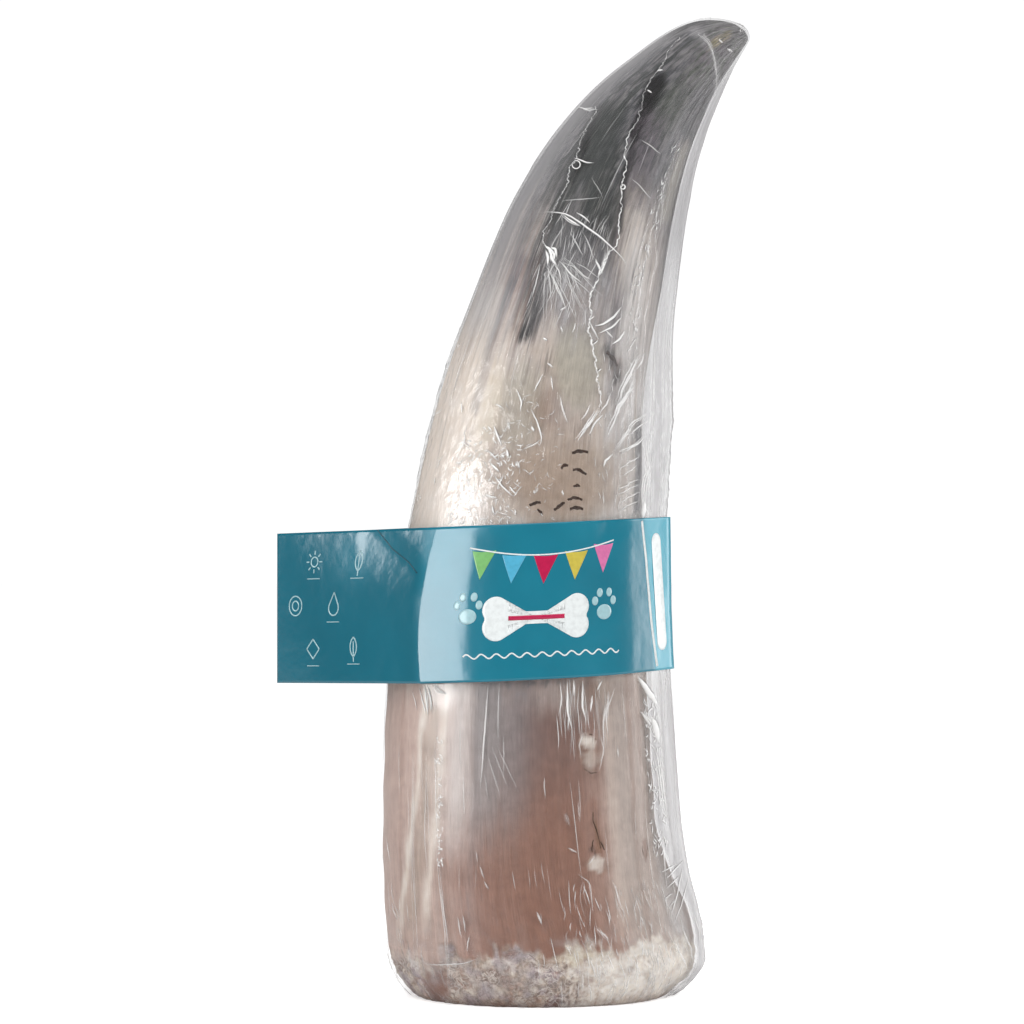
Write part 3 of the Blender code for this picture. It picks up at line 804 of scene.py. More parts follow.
with_fibres.inputs[0].default_value = 0.4
scuff_grey = node(tree, "MapRange", {"Value": scuffs}, From_Min=0.3, From_Max=0.7, To_Min=0.3, To_Max=0.7)
with_scuffs = node(
    tree, "Mix", {6: with_fibres.outputs[2], 7: scuff_grey}, data_type="RGBA", blend_type="OVERLAY")
with_scuffs.inputs[0].default_value = 0.35
grit = node(tree, "TexNoise", {"Vector": grain}, Scale=0.8, Detail=6.0, Roughness=0.75)
grit_grey = node(tree, "MapRange", {"Value": grit}, From_Min=0.36, From_Max=0.62, To_Min=0.12, To_Max=0.85)
grit_share = node(tree, "Math", {0: crust_share, 1: 0.46}, operation="MULTIPLY")
with_grit = node(
    tree, "Mix", {0: grit_share, 6: with_scuffs.outputs[2], 7: grit_grey}, data_type="RGBA",
    blend_type="OVERLAY")
# The crust is marbled: pale curly lines where a twisted noise crosses its middle value, and brown gaps
# between
curls = node(tree, "TexNoise", {"Vector": grain}, Scale=0.42, Detail=2.5, Distortion=1.8)
off_middle = node(tree, "Math", {0: curls, 1: 0.5}, operation="SUBTRACT")
far = node(tree, "Math", {0: off_middle}, operation="ABSOLUTE")
line = node(tree, "MapRange", {"Value": far}, From_Min=0.0, From_Max=0.045, To_Min=1.0, To_Max=0.0)
line_share = node(tree, "Math", {0: line, 1: curly_share}, operation="MULTIPLY")
gap = node(tree, "MapRange", {"Value": curls}, From_Min=0.57, From_Max=0.66, To_Max=0.85)
gap_share = node(tree, "Math", {0: gap, 1: curly_share}, operation="MULTIPLY")
with_gaps = node(
    tree, "Mix", {0: gap_share, 6: with_grit.outputs[2], 7: linear("#84726a")}, data_type="RGBA")
with_lines = node(
    tree, "Mix", {0: line_share, 6: with_gaps.outputs[2], 7: linear("#dcd3cb")}, data_type="RGBA")
rough = node(tree, "MapRange", {"Value": crust_share}, To_Min=0.42, To_Max=0.9)
heights = node(tree, "Mix", {0: crust_share, 2: fine, 3: grit}, data_type="FLOAT")
bump = node(tree, "Bump", {"Height": heights}, Strength=0.35, Distance=0.0004)
shader = node(
    tree, "BsdfPrincipled", {"Base Color": with_lines.outputs[2], "Roughness": rough, "Normal": bump},
    IOR=1.5)
node(tree, "OutputMaterial", {"Surface": shader})
horn.data.materials.append(horn_material)
print(horn_material.name, len(tree.nodes), "nodes")

# %% [markdown]
# ## The shrink film
# The film is a tube of clear plastic drawn tight by hot air. It spans the horn's hollows in straight runs,
# stands off along the inside of the bend, and wrinkles where there was more film than horn. Cloth
# simulation could shrink it, but its folds are known from the photograph, so the sheet is the tight skin
# with noise for its crumples, and the folds are thin raised ridges laid on it in a piece of their own.

# %% The film's surface
FILM_OUT, FILM_IN = 0.76, 0.66
FILM_COLS, FILM_ROWS, FILM_FOOT, FILM_TIP_MM = 300, 278, 0.9, 12
LABEL_ZONE = (76.0, 126.0)
film_th = dense_in_front(FILM_COLS, 0.35)
end_rows = DENSE_S[-1] - FILM_TIP_MM * (1 - np.sin(np.linspace(0, 0.5 * math.pi, 24)[:-1]))
film_len = np.concatenate([np.linspace(FILM_FOOT, DENSE_S[-1] - FILM_TIP_MM, FILM_ROWS)[:-1], end_rows])
film_t = t_along(film_len)[:, None]


def film_crumple(th, t):
    """How far the film's outer face stands off its tight place: long soft waves, and where the film had
    most to spare, above the band and at the foot, a net of sharp ridges from 1 - |noise|."""
    p = straight(th, np.interp(t, DENSE_T, DENSE_S))
    h = spline(STATIONS[:, 1], t)
    front = 0.5 - 0.5 * np.sin(th)
    busy = smooth(112, 128, h) * (1 - smooth(152, 172, h)) * (0.35 + 0.65 * front)
    busy = busy + 0.8 * (1 - smooth(10, 26, h))
    bend = 0.5 * noise(p * 0.1, 3)[..., None]
    net = ridged(p * (0.20, 0.20, 0.15) + bend, 2.6, 5) ** 2
    small = ridged(p * (0.42, 0.42, 0.34) + 2 * bend, 2.8, 6) ** 2
    pleats = ridged(p * (0.13, 0.13, 0.012) + 0.4 * bend, 3.0, 7) ** 2
    waves = 0.06 * (1 + noise(p * (0.07, 0.07, 0.02), 8))
    tight = 1 - 0.85 * smooth(205, 232, h)
    low, top = LABEL_ZONE
    under_label = smooth(low - 4, low + 4, h) * (1 - smooth(top - 4, top + 4, h))
    return (waves + 0.22 * pleats + busy * (0.36 * net + 0.36 * small)) * (1 - 0.7 * under_label) * tight


def film_face(th, t):
    """The film's outer face without its crumples, for finding what a pixel shows."""
    return skin(th, t, FILM_OUT)


film_out = skin(film_th, film_t, FILM_OUT + film_crumple(film_th, film_t))
inner_rows = np.linspace(0, len(film_len) - 1, 20).astype(int)
film_in = skin(film_th, film_t[inner_rows], FILM_IN)
film_tip, film_tip_in = (horn_tip + (off - TIP_PAST) * TIP_WAY for off in (FILM_OUT, FILM_IN))
film = shell("film_sleeve", film_out, film_in, film_tip, film_tip_in)

# %% What the film's material reads
film_p = film_out.reshape(-1, 3)
film_x, film_y = seen(film_p)
film_angle = np.broadcast_to(film_th, film_out.shape[:2]).ravel()
film_s = np.broadcast_to(film_len[:, None], film_out.shape[:2]).ravel()
film_h = spline(STATIONS[:, 1], t_along(film_s))
film_grain = straight(film_angle, film_s)
film_front = smooth(-0.05, 0.3, -np.sin(film_angle))


def per_film_point(values, at_tip=0.0):
    """Values for the outer face, with 0 for the inner one and one for each pole."""
    return np.concatenate([values, np.zeros(len(film_in.reshape(-1, 3))), [at_tip, 0.0]])


# The horn's own edge inside the bend of the film, where the camera sees it: beyond it the film is a web of
# two walls
edge_x, edge_y = seen(horn_out[::-1, np.argmin(np.abs(np.sin(horn_th[0] / 2)))])
past_edge = film_x - np.interp(film_y, edge_y, edge_x)
lines = ridged(film_grain * (0.30, 0.30, 0.006), 3, 81)
lines = np.maximum(lines, 0.8 * ridged(film_grain * (0.75, 0.75, 0.012), 3, 83))
web = smooth(-3, 5, past_edge) * (1 - smooth(236, 246, film_h))
upper_web = web * smooth(185, 212, film_h)
haze = 0.02 + web * (0.12 + 0.34 * lines + 0.14 * noise(film_grain * (0.12, 0.12, 0.004), 84))
near_web = smooth(-60, -4, past_edge) * (1 - web) * (1 - smooth(500, 700, film_y))
haze = haze + near_web * (0.10 + 0.30 * lines ** 2) + 0.30 * upper_web
left_edge = smooth(0.45, 0.92, -np.cos(film_angle)) * smooth(150, 185, film_h)
haze = haze + 0.42 * left_edge * (1 - 0.95 * smooth(236, 244, film_h))
veil = blob(film_x, film_y, 573, 292, 36, 44, soft=0.7)
veil = veil + 0.5 * blob(film_x, film_y, 600, 330, 16, 60, soft=0.7)
cloud = np.clip(fractal(film_grain * (0.35, 0.35, 0.1), 3, 85), 0, 1)
haze = haze + film_front * veil * (0.18 + 0.55 * cloud)
from_collar = np.hypot((film_x - 690) / 27, (film_y - 78) / 46) - 1
collar = np.exp(-(from_collar / 0.10) ** 2) * (film_x > 690) * (film_y < 92)
haze = haze + 0.28 * collar * film_front + 0.24 * web * (1 - smooth(44, 84, film_h))
haze = haze + 0.30 * (1 - smooth(10, 26, film_h)) * np.clip(fractal(film_grain * 0.25, 3, 82), 0, 1)
haze = haze + 0.05 * smooth(0.45, 0.95, -np.cos(film_angle))
foot_corner = blob(film_x, film_y, 684, 892, 17, 62, -12, soft=0.8) * film_front
haze = haze + foot_corner * (0.22 + 0.30 * lines + 0.20 * noise(film_grain * 0.2, 86))
put_attribute(film, "haze", per_film_point(np.clip(haze, 0, 1), 0.1))
patch_places = ((468, 488, 25, 40, 6), (441, 694, 15, 14, 30))
low_gloss = 0.55 - 0.38 * smooth(670, 690, film_y) - 0.10 * smooth(820, 900, film_y)
low_gloss = low_gloss * (1 - 0.97 * smooth(200, 236, film_h)) * (1 - 0.5 * web * smooth(150, 190, film_h))
film_gloss = low_gloss + sum(blob(film_x, film_y, *place, soft=0.5) for place in patch_places) * film_front
put_attribute(film, "gloss", per_film_point(film_gloss, 0.02))
busy_part = smooth(112, 122, film_h) * (1 - smooth(150, 176, film_h)) + 0.8 * (1 - smooth(12, 30, film_h))
put_attribute(film, "busy", per_film_point(busy_part))
put_attribute(film, "grain", np.concatenate([film_grain, film_in.reshape(-1, 3), [horn_tip, horn_tip]]))
print("mean haze", haze.mean().round(3), "and gloss", film_gloss.mean().round(3))

# %% [markdown]
# ## The film's material
# The real film is a polyolefin 0.02 to 0.03 mm thick, blown and then shrunk: clear, with a sharp gloss and
# a slight haze where it is thick or doubled. A pane that thin doesn't bend light, so it is a transparent
# shader with a gloss over it by Fresnel's law for an index of 1.5, and a little white for the haze. Its two
# faces each reflect, so the outer face stands for both.

# %% Clear shrink film
film_material, tree = new_material("clear_shrink_film")
grain = node(tree, "Attribute", attribute_name="grain").outputs["Vector"]
haze_share, gloss_share, busy_share = (
    node(tree, "Attribute", attribute_name=name).outputs["Fac"] for name in ("haze", "gloss", "busy"))
# Long soft waves of 2.2 by 9 mm, and where the film is busy, crumples of 1.5 by 2.2 mm
long_grain = node(tree, "Mapping", {"Vector": grain}, Scale=(1 / 2.2, 1 / 2.2, 1 / 9.0))
long_waves = node(tree, "TexNoise", {"Vector": long_grain}, Scale=1.0, Detail=3, Roughness=0.55)
short_grain = node(tree, "Mapping", {"Vector": grain}, Scale=(1 / 1.5, 1 / 1.5, 1 / 2.2))
crumples = node(tree, "TexNoise", {"Vector": short_grain}, Scale=1.0, Detail=4, Roughness=0.55)
height = node(tree, "Mix", {0: busy_share, 2: long_waves, 3: crumples}, data_type="FLOAT")
strength = node(tree, "MapRange", {"Value": busy_share}, To_Min=0.35, To_Max=0.62)
crinkle = node(tree, "Bump", {"Height": height, "Strength": strength}, Distance=0.0006)
clear = node(tree, "BsdfTransparent", Color=(0.98, 0.98, 0.98, 1))
milk = node(tree, "BsdfDiffuse", Color=linear("#c2c0c2"))
body = node(tree, "MixShader", {0: haze_share, 1: clear, 2: milk})
gloss = node(tree, "BsdfGlossy", {"Normal": crinkle}, Color=(1, 1, 1, 1), Roughness=0.13)
fresnel = node(tree, "Fresnel", {"Normal": crinkle}, IOR=1.5)
shine = node(tree, "Math", {0: fresnel, 1: gloss_share}, operation="MULTIPLY")
# Seen from inside, Fresnel's law for a solid would give a full mirror, which a thin sheet isn't
behind = node(tree, "NewGeometry").outputs["Backfacing"]
outside = node(tree, "Math", {0: 1.0, 1: behind}, operation="SUBTRACT")
shine = node(tree, "Math", {0: shine, 1: outside}, operation="MULTIPLY")
both = node(tree, "MixShader", {0: shine, 1: body, 2: gloss})
node(tree, "OutputMaterial", {"Surface": both})
film.data.materials.append(film_material)
print(film_material.name, len(tree.nodes), "nodes")

# %% [markdown]
# ## Folds in the film
# Where the film gathers, it doubles into folds and ticks a few tenths of a millimetre wide that show as
# white lines: milky doubled film, and a painted highlight where a fold catches the light. Each is a low
# ridge with tapered ends: a half round carried along a line on the film. The lines that the photograph
# shows are given by a few of its pixels, and the small ones in between are drawn at random.

# %% Ridges laid on the film
RIDGE_STEPS, SMALL_STEPS, RIDGE_ACROSS = 18, 11, 7
# Across a ridge, from one foot to the other and the underside: how white it is (milky film and painted
# highlight), and how dark (painted shade)
MILK_AND_HIGHLIGHT_SIDE = np.array([0.0, 0.55, 0.9, 1.0, 0.8, 0.15, 0.0, 0.0])
PAINTED_SHADE_SIDE = np.array([0.0, 0.0, 0.0, 0.0, 0.1, 0.6, 0.2, 0.0])


def through(paths, count):
    """Each path, a list of places, read at an even count of steps along its length."""
    out = []
    for path in paths:
        path = np.asarray(path, float)
        lengths = np.concatenate([[0], np.cumsum(np.linalg.norm(np.diff(path, axis=0), axis=1))])
        at = np.linspace(0, lengths[-1], count)
        out.append(np.stack([np.interp(at, lengths, path[:, k]) for k in range(path.shape[1])], -1))
    out = np.array(out)
    for _ in range(2):
        out[:, 1:-1] = 0.25 * out[:, :-2] + 0.5 * out[:, 1:-1] + 0.25 * out[:, 2:]
    return out


def on_film(th, t):
    """The film's crumpled outer face."""
    return skin(th, t, FILM_OUT + film_crumple(th, t))


def ridge_piece(name, th, t, half_wide, tall, white, closed_ends=0.0, under=on_film):
    """Half-round ridges on the film, one for each row of th and t. At fraction f along it, a ridge is
    sin(pi f) ** 0.6 of its full width. Across, u runs from -1 to 1 and the height is tall (1 - u u); its
    white (milky film and painted highlight) and its dark (painted shade) follow two tables across it. Its
    underside is one line, sunk below the film."""
    count, steps = th.shape
    f = np.linspace(0, 1, steps)
    taper = np.maximum(np.sin(math.pi * f) ** 0.6, closed_ends)
    middle = under(th, t)
    normal = normals_of(hull_surface, th, t)
    along = np.gradient(middle, axis=1)
    along /= np.maximum(np.linalg.norm(along, axis=-1, keepdims=True), 1e-9)
    across = np.cross(normal, along)
    u = np.concatenate([np.linspace(-1, 1, RIDGE_ACROSS), [0.0]])
    up = np.concatenate([1 - u[:-1] ** 2, [0.0]])
    sink = np.concatenate([np.full(RIDGE_ACROSS, 0.02), [0.10]])
    wide = (np.reshape(half_wide, (count, -1)) * taper)[..., None, None]
    high = (np.reshape(tall, (count, -1)) * taper)[..., None, None]
    points = middle[:, :, None] + across[:, :, None] * u[None, None, :, None] * wide
    points = points + normal[:, :, None] * (up[None, None, :, None] * high - sink[None, None, :, None])
    ring = RIDGE_ACROSS + 1
    first = (np.arange(count) * steps * ring)[:, None, None]
    quads = (grid_faces(steps, ring)[None] + first).reshape(-1, 4)
    j = np.arange(1, ring - 1)
    start = np.stack([np.zeros_like(j), j + 1, j], -1)
    finish = np.stack([np.zeros_like(j), j, j + 1], -1) + (steps - 1) * ring
    tris = (np.concatenate([start, finish])[None] + first).reshape(-1, 3)
    piece = new_piece(name, points.reshape(-1, 3), quads, tris)
    amount = np.reshape(white, (count, -1))[..., None] * taper[None, :, None]
    put_attribute(piece, "white", np.clip(1.5 * amount * MILK_AND_HIGHLIGHT_SIDE, 0, 1).ravel())
    put_attribute(piece, "dark", np.clip(amount * PAINTED_SHADE_SIDE, 0, 1).ravel())
    return piece


print("a ridge has", RIDGE_STEPS, "rings of", RIDGE_ACROSS + 1, "points")

# %% Folds that the photograph shows
# Width in pixels, whiteness, then x and y of each pixel on the line
SEEN_FOLDS = (
    # the curved folds right of the middle
    (1.8, 0.95, 622, 306, 614, 317, 603, 325, 593, 327), (1.5, 0.8, 623, 315, 612, 327, 597, 334),
    (1.7, 0.85, 625, 330, 618, 340, 610, 345), (2.6, 1.0, 640, 352, 628, 373, 620, 390, 615, 407),
    (2.8, 1.0, 635, 376, 628, 390, 618, 406, 606, 438), (1.8, 0.8, 634, 383, 620, 402, 612, 419),
    (2.8, 0.95, 599, 407, 584, 428, 575, 443), (1.6, 0.7, 603, 413, 593, 425, 588, 436),
    (2.2, 0.9, 647, 413, 633, 422, 622, 436, 614, 453), (1.3, 0.6, 648, 420, 636, 428, 627, 438),
    (2.4, 1.0, 644, 434, 635, 444, 616, 453), (1.8, 0.8, 612, 454, 605, 461, 603, 468),
    (1.6, 0.6, 645, 352, 641, 362, 636, 372), (1.2, 0.5, 627, 352, 632, 342, 637, 336),
    (1.6, 0.6, 611, 392, 606, 404, 598, 414), (1.3, 0.55, 590, 404, 586, 414, 580, 422),
    (1.2, 0.5, 639, 478, 628, 483, 616, 490), (1.2, 0.5, 639, 484, 628, 489, 617, 496),
    (1.2, 0.45, 640, 491, 628, 497, 618, 503), (1.2, 0.45, 640, 499, 628, 505, 618, 511),
    (1.3, 0.5, 640, 456, 629, 462, 618, 470), (1.1, 0.45, 638, 464, 628, 470, 620, 476),
    # the bright line down the right, over and under the band: a painted highlight of the right-hand light on
    # the film's crease
    (3.4, 1.0, 644, 434, 646, 470, 642, 490, 643, 518), (6.0, 0.95, 644, 500, 643, 510, 643, 519),
    (5.5, 1.0, 637, 676, 646, 690, 658, 708), (3.6, 0.9, 641, 711, 651, 726),
    (7.5, 1.0, 650, 716, 656, 730, 658, 745), (3.6, 0.9, 654, 743, 659, 776, 663, 809, 668, 824),
    (1.6, 0.6, 661, 826, 663, 850, 666, 880), (2.2, 0.8, 645, 690, 650, 700),
    # folds that run out from the tuft near the top
    (1.0, 0.6, 545, 264, 553, 279, 564, 308), (0.9, 0.6, 549, 266, 562, 298, 568, 317),
    (1.5, 0.6, 559, 260, 572, 275, 584, 285), (1.8, 0.8, 595, 258, 599, 267, 603, 274),
    (1.8, 0.8, 607, 258, 603, 268, 598, 278), (1.3, 0.5, 541, 262, 536, 285, 531, 300),
    (1.2, 0.5, 553, 262, 560, 272, 563, 283), (1.2, 0.5, 576, 268, 584, 276, 592, 281),
    (1.5, 0.8, 540, 212, 558, 212, 569, 214, 576, 220, 590, 230, 603, 239, 611, 248, 620, 255, 629, 268),
    (1.3, 0.7, 576, 212, 585, 218, 591, 224), (2.2, 0.9, 562, 215, 572, 222, 580, 227),
    (1.0, 0.4, 640, 139, 652, 147, 663, 155), (1.0, 0.4, 629, 177, 640, 186, 654, 202),
    (0.9, 0.25, 591, 176, 602, 196, 604, 200), (0.9, 0.3, 560, 201, 580, 199, 603, 197),
    (1.1, 0.4, 583, 232, 590, 246, 594, 262), (1.1, 0.4, 570, 232, 578, 246, 584, 258),
    # the collar at the tip
    (1.8, 0.26, 684, 31, 700, 35, 709, 42, 713, 53, 716, 71, 716, 89, 714, 102),
    (1.3, 0.2, 690, 28, 702, 34, 711, 44, 714, 56), (2.4, 0.6, 576, 107, 587, 110, 597, 109),
    (2.2, 0.9, 735, 28, 742, 32), (2.6, 0.9, 728, 48, 730, 52), (1.6, 0.5, 719, 39, 723, 43),
    # the crumpled part above the band
    (1.3, 0.6, 544, 373, 540, 383, 535, 394), (1.5, 0.6, 547, 363, 553, 369),
    (1.3, 0.5, 551, 375, 553, 392), (1.4, 0.7, 517, 389, 522, 402, 520, 413),
    (1.3, 0.7, 530, 407, 538, 424, 542, 440, 538, 448), (1.8, 0.8, 532, 426, 534, 431),
    (2.0, 0.8, 497, 405, 503, 408), (2.0, 0.8, 509, 422, 509, 429),
    (1.8, 0.7, 494, 425, 498, 436, 502, 446), (1.5, 0.5, 559, 394, 563, 409, 568, 423),
    (1.3, 0.5, 467, 426, 465, 443, 471, 451), (1.8, 0.8, 507, 449, 509, 459),
    (2.2, 0.8, 517, 461, 519, 469), (1.2, 0.5, 522, 450, 534, 444, 542, 438),
    (1.8, 0.8, 490, 463, 500, 472), (1.6, 0.7, 494, 474, 503, 486, 515, 497),
    (1.6, 0.7, 509, 486, 517, 495), (1.5, 0.7, 484, 495, 499, 499), (1.4, 0.6, 504, 476, 496, 490),
    (1.6, 0.7, 492, 505, 494, 516), (1.4, 0.6, 515, 509, 515, 517), (1.4, 0.6, 486, 449, 500, 462),
    (1.8, 0.6, 463, 403, 463, 414), (1.5, 0.6, 437, 478, 435, 484), (1.0, 0.4, 445, 455, 437, 470),
    (1.4, 0.5, 534, 490, 535, 494), (1.4, 0.5, 562, 490, 563, 496), (1.4, 0.6, 560, 311, 566, 307),
    (1.6, 0.7, 543, 338, 547, 341), (1.2, 0.5, 560, 325, 563, 333), (1.2, 0.5, 576, 322, 572, 334),
    (1.4, 0.6, 588, 318, 594, 330, 600, 341), (1.4, 0.6, 604, 330, 612, 338),
    # under the band
    (1.8, 0.8, 425, 686, 428, 716), (1.4, 0.6, 419, 686, 427, 716), (1.1, 0.4, 412, 690, 418, 712),
    (1.6, 0.75, 489, 680, 486, 730, 481, 790), (1.1, 0.35, 487, 752, 500, 799),
    (1.1, 0.35, 491, 745, 509, 790), (1.0, 0.3, 494, 740, 520, 795), (1.0, 0.3, 484, 770, 488, 800),
    (1.6, 0.75, 567, 679, 567, 713, 572, 730), (1.4, 0.6, 574, 679, 574, 697),
    (1.6, 0.75, 583, 679, 582, 706, 586, 722), (1.5, 0.7, 592, 694, 590, 713),
    (1.4, 0.6, 602, 680, 597, 692), (1.4, 0.6, 611, 690, 602, 720, 604, 757),
    (1.2, 0.45, 616, 686, 605, 714, 609, 740), (1.2, 0.45, 560, 680, 562, 700, 558, 716),
    (1.3, 0.6, 617, 746, 617, 758), (1.2, 0.5, 544, 776, 545, 800), (1.8, 0.75, 537, 911, 542, 925),
    (1.5, 0.6, 567, 848, 577, 853), (1.3, 0.5, 576, 873, 590, 883, 593, 915),
    (1.2, 0.5, 611, 878, 618, 896, 623, 913), (2.0, 0.8, 595, 927, 609, 941),
    (1.3, 0.5, 585, 731, 580, 745, 583, 758), (1.3, 0.5, 598, 732, 603, 748, 598, 772),
    (2.0, 0.4, 564, 812, 568, 826), (1.2, 0.4, 578, 800, 579, 822), (1.3, 0.5, 588, 865, 594, 855),
    # the long pleats at the left of the foot
    (2.0, 0.5, 413, 740, 413, 774, 413, 869, 416, 927, 418, 985), (1.5, 0.45, 435, 735, 436, 800, 437, 836),
    (2.4, 0.8, 427, 685, 430, 700, 431, 714), (2.0, 0.6, 434, 684, 440, 692, 447, 694),
    (2.4, 0.5, 437, 836, 440, 880, 447, 938, 451, 1001), (1.6, 0.5, 440, 883, 449, 946),
    (1.6, 0.4, 427, 770, 425, 840, 428, 880), (1.2, 0.3, 400, 740, 400, 800),
    (1.2, 0.6, 421, 962, 440, 965, 463, 964, 481, 957), (1.8, 0.6, 387, 836, 391, 862),
    (2.0, 0.6, 393, 901, 400, 922), (2.2, 0.5, 398, 925, 404, 950), (1.5, 0.4, 392, 880, 396, 905),
    (1.5, 0.6, 458, 915, 463, 938), (1.4, 0.6, 463, 914, 466, 934), (1.5, 0.6, 470, 934, 467, 952),
    (1.5, 0.5, 480, 865, 485, 880), (1.5, 0.5, 484, 880, 490, 890), (1.2, 0.4, 476, 850, 478, 862),
    # the corner at the lower right
    (1.6, 0.75, 669, 922, 677, 890, 683, 864), (1.4, 0.7, 665, 880, 675, 868, 684, 859),
    (1.3, 0.6, 660, 873, 669, 868, 677, 864), (1.3, 0.6, 672, 930, 682, 900, 690, 872),
    (1.3, 0.6, 665, 890, 674, 880, 682, 872), (1.2, 0.5, 664, 900, 672, 892),
    (1.2, 0.5, 668, 908, 676, 898), (1.6, 0.5, 690, 905, 697, 930, 699, 950),
    (1.6, 0.5, 680, 925, 688, 945, 694, 965), (1.4, 0.5, 672, 938, 680, 955, 686, 972),
)
print(len(SEEN_FOLDS), "folds")

# %% From pixels to ridges
# A pixel's size in mm on the horn's front, which is about 30 mm nearer to the camera than its middle
PX_MM = MM_PER_PIXEL * (CAMERA_AWAY - 30) / CAMERA_AWAY
fold_rng = np.random.default_rng(19)
# Thin rays that fan out from the tuft, too many to name: each has a start, a direction and a length in pixels
RAYS = 34
ray_start = np.array([550, 256]) + fold_rng.uniform((-4, -2), (26, 14), (RAYS, 2))
ray_way = np.radians(fold_rng.uniform(32, 96, RAYS))
ray_long = fold_rng.uniform(18, 70, RAYS)
ray_end = ray_start + ray_long[:, None] * np.stack([np.cos(ray_way), np.sin(ray_way)], -1)
ray_middle = 0.5 * (ray_start + ray_end) + fold_rng.normal(0, 1.5, (RAYS, 2))
ray_white = fold_rng.uniform(0.2, 0.5, RAYS)
shown_folds = [((a, b, c), 0.7, white) for a, b, c, white in zip(ray_start, ray_middle, ray_end, ray_white)]
BROAD = (2.0, 5.0)
for wide, white, *path in SEEN_FOLDS:
    path = np.reshape(path, (-1, 2))
    if not BROAD[0] <= wide <= BROAD[1]:
        shown_folds.append((path, wide, white))
        continue
    # A broad fold is a bundle of finer ones side by side
    for shift, share in ((-0.55, 0.6), (0.05, 1.0), (0.6, 0.75)):
        moved = path + (shift * wide, 0) + fold_rng.normal(0, 0.5, path.shape)
        shown_folds.append((moved, 0.42 * wide, share * white))
places = through([fold[0] for fold in shown_folds], RIDGE_STEPS)
places = places + np.cumsum(fold_rng.normal(0, 0.12, places.shape), axis=1)
fold_th, fold_t = under_pixel(places[..., 0], places[..., 1], film_face)
# Only the middle half of a ridge is white, so its half width is the whole width of the line that is seen
fold_wide = np.array([fold[1] for fold in shown_folds]) * PX_MM
fold_white = np.array([fold[2] for fold in shown_folds])
# Low in front the film lies close on the horn, and its folds are fainter
fold_white = fold_white * (1 - 0.42 * ((places[:, 9, 1] > 720) & (places[:, 9, 0] < 640)))
seen_folds = ridge_piece("film_folds", fold_th, fold_t, fold_wide, 0.25 + 0.25 * fold_wide, fold_white)

# %% Small folds at random
# Each kind: how many, height above the foot, angle round the horn, lean from upright, length, width and
# whiteness
FOLD_KINDS = (
    ("crumple", 150, (117, 142), (226, 262), 90, (0.7, 2.2), (0.20, 0.42), (0.35, 0.95)),
    ("crumple_soft", 90, (118, 152), (250, 284), 90, (0.8, 2.8), (0.18, 0.34), (0.2, 0.55)),
    ("tuft_rays", 90, (170, 197), (245, 290), 16, (2.0, 9.0), (0.18, 0.32), (0.12, 0.45)),
    ("crumple_back", 130, (117, 168), (40, 200), 90, (1.0, 4.0), (0.22, 0.42), (0.3, 0.7)),
    ("ribs_right", 40, (118, 165), (302, 322), 30, (1.5, 4.0), (0.22, 0.34), (0.3, 0.6)),
    # the dots at the film's edge and the ribs of the web are painted highlights where the film catches the
    # light
    ("dots_edge", 70, (164, 222), (316, 330), 30, (0.8, 2.4), (0.30, 0.55), (0.45, 1.0)),
    ("ribs_web", 110, (36, 76), (338, 349), 65, (1.2, 3.0), (0.3, 0.6), (0.6, 1.0)),
    ("chain_left", 60, (34, 67), (232.5, 235.5), 90, (0.5, 1.5), (0.22, 0.42), (0.4, 0.9)),
    ("wrinkles_low", 44, (66, 79), (287, 314), 6, (5, 12), (0.20, 0.34), (0.2, 0.55)),
    ("foot", 120, (3, 34), (180, 540), 7, (3.0, 10.0), (0.20, 0.36), (0.12, 0.4)),
    ("foot_right", 170, (3, 30), (284, 345), 22, (1.5, 6.5), (0.22, 0.46), (0.12, 0.5)),
    ("pleats", 40, (20, 76), (0, 360), 4, (8, 30), (0.26, 0.50), (0.12, 0.35)),
    ("web_lines", 26, (20, 200), (336, 390), 2, (14, 50), (0.22, 0.40), (0.12, 0.3)),
    ("upper_lines", 40, (150, 225), (0, 360), 6, (6, 26), (0.22, 0.40), (0.12, 0.35)),
    ("folds_back", 38, (60, 200), (20, 170), 45, (5, 16), (0.3, 0.7), (0.4, 0.9)),
)
rng = np.random.default_rng(23)
small_th, small_t, small_wide, small_white = [], [], [], []
for _, count, heights, angles, lean, lengths, widths, whites in FOLD_KINDS:
    start_h, start_a = rng.uniform(*heights, count), np.radians(rng.uniform(*angles, count))
    way = np.radians(rng.uniform(-lean, lean, count))
    reach = rng.uniform(*lengths, count)
    bow = rng.normal(0, 0.25, count) / np.maximum(1, reach / 1.5) ** 1.5
    f = np.linspace(-0.5, 0.5, SMALL_STEPS)[None]
    local = t_at(start_h)
    radius = np.maximum(station(local)[4], 6)
    run = reach[:, None] * f
    bend = (bow * reach)[:, None] * (4 * f * f)
    up = run * np.cos(way)[:, None] - bend * np.sin(way)[:, None]
    round_mm = run * np.sin(way)[:, None] + bend * np.cos(way)[:, None]
    small_th.append(start_a[:, None] + round_mm / radius[:, None])
    small_t.append(t_along(np.clip(np.interp(local, DENSE_T, DENSE_S)[:, None] + up, 1.5, DENSE_S[-1] - 4)))
    small_wide.append(rng.uniform(*widths, count) / 2 * 1.3)
    small_white.append(rng.uniform(*whites, count))
small_th, small_t, small_wide, small_white = map(np.concatenate, (small_th, small_t, small_wide, small_white))


def some_folds(name, chosen):
    """The chosen ones of the small folds, as a piece of their own, so that no piece grows too heavy."""
    wide = small_wide[chosen]
    return ridge_piece(name, small_th[chosen], small_t[chosen], wide, 0.12 + 0.3 * wide, small_white[chosen])


on_back = np.sin(small_th[:, 0]) > 0
small_folds = some_folds("film_small_folds", ~on_back)
back_folds = some_folds("film_back_folds", on_back)

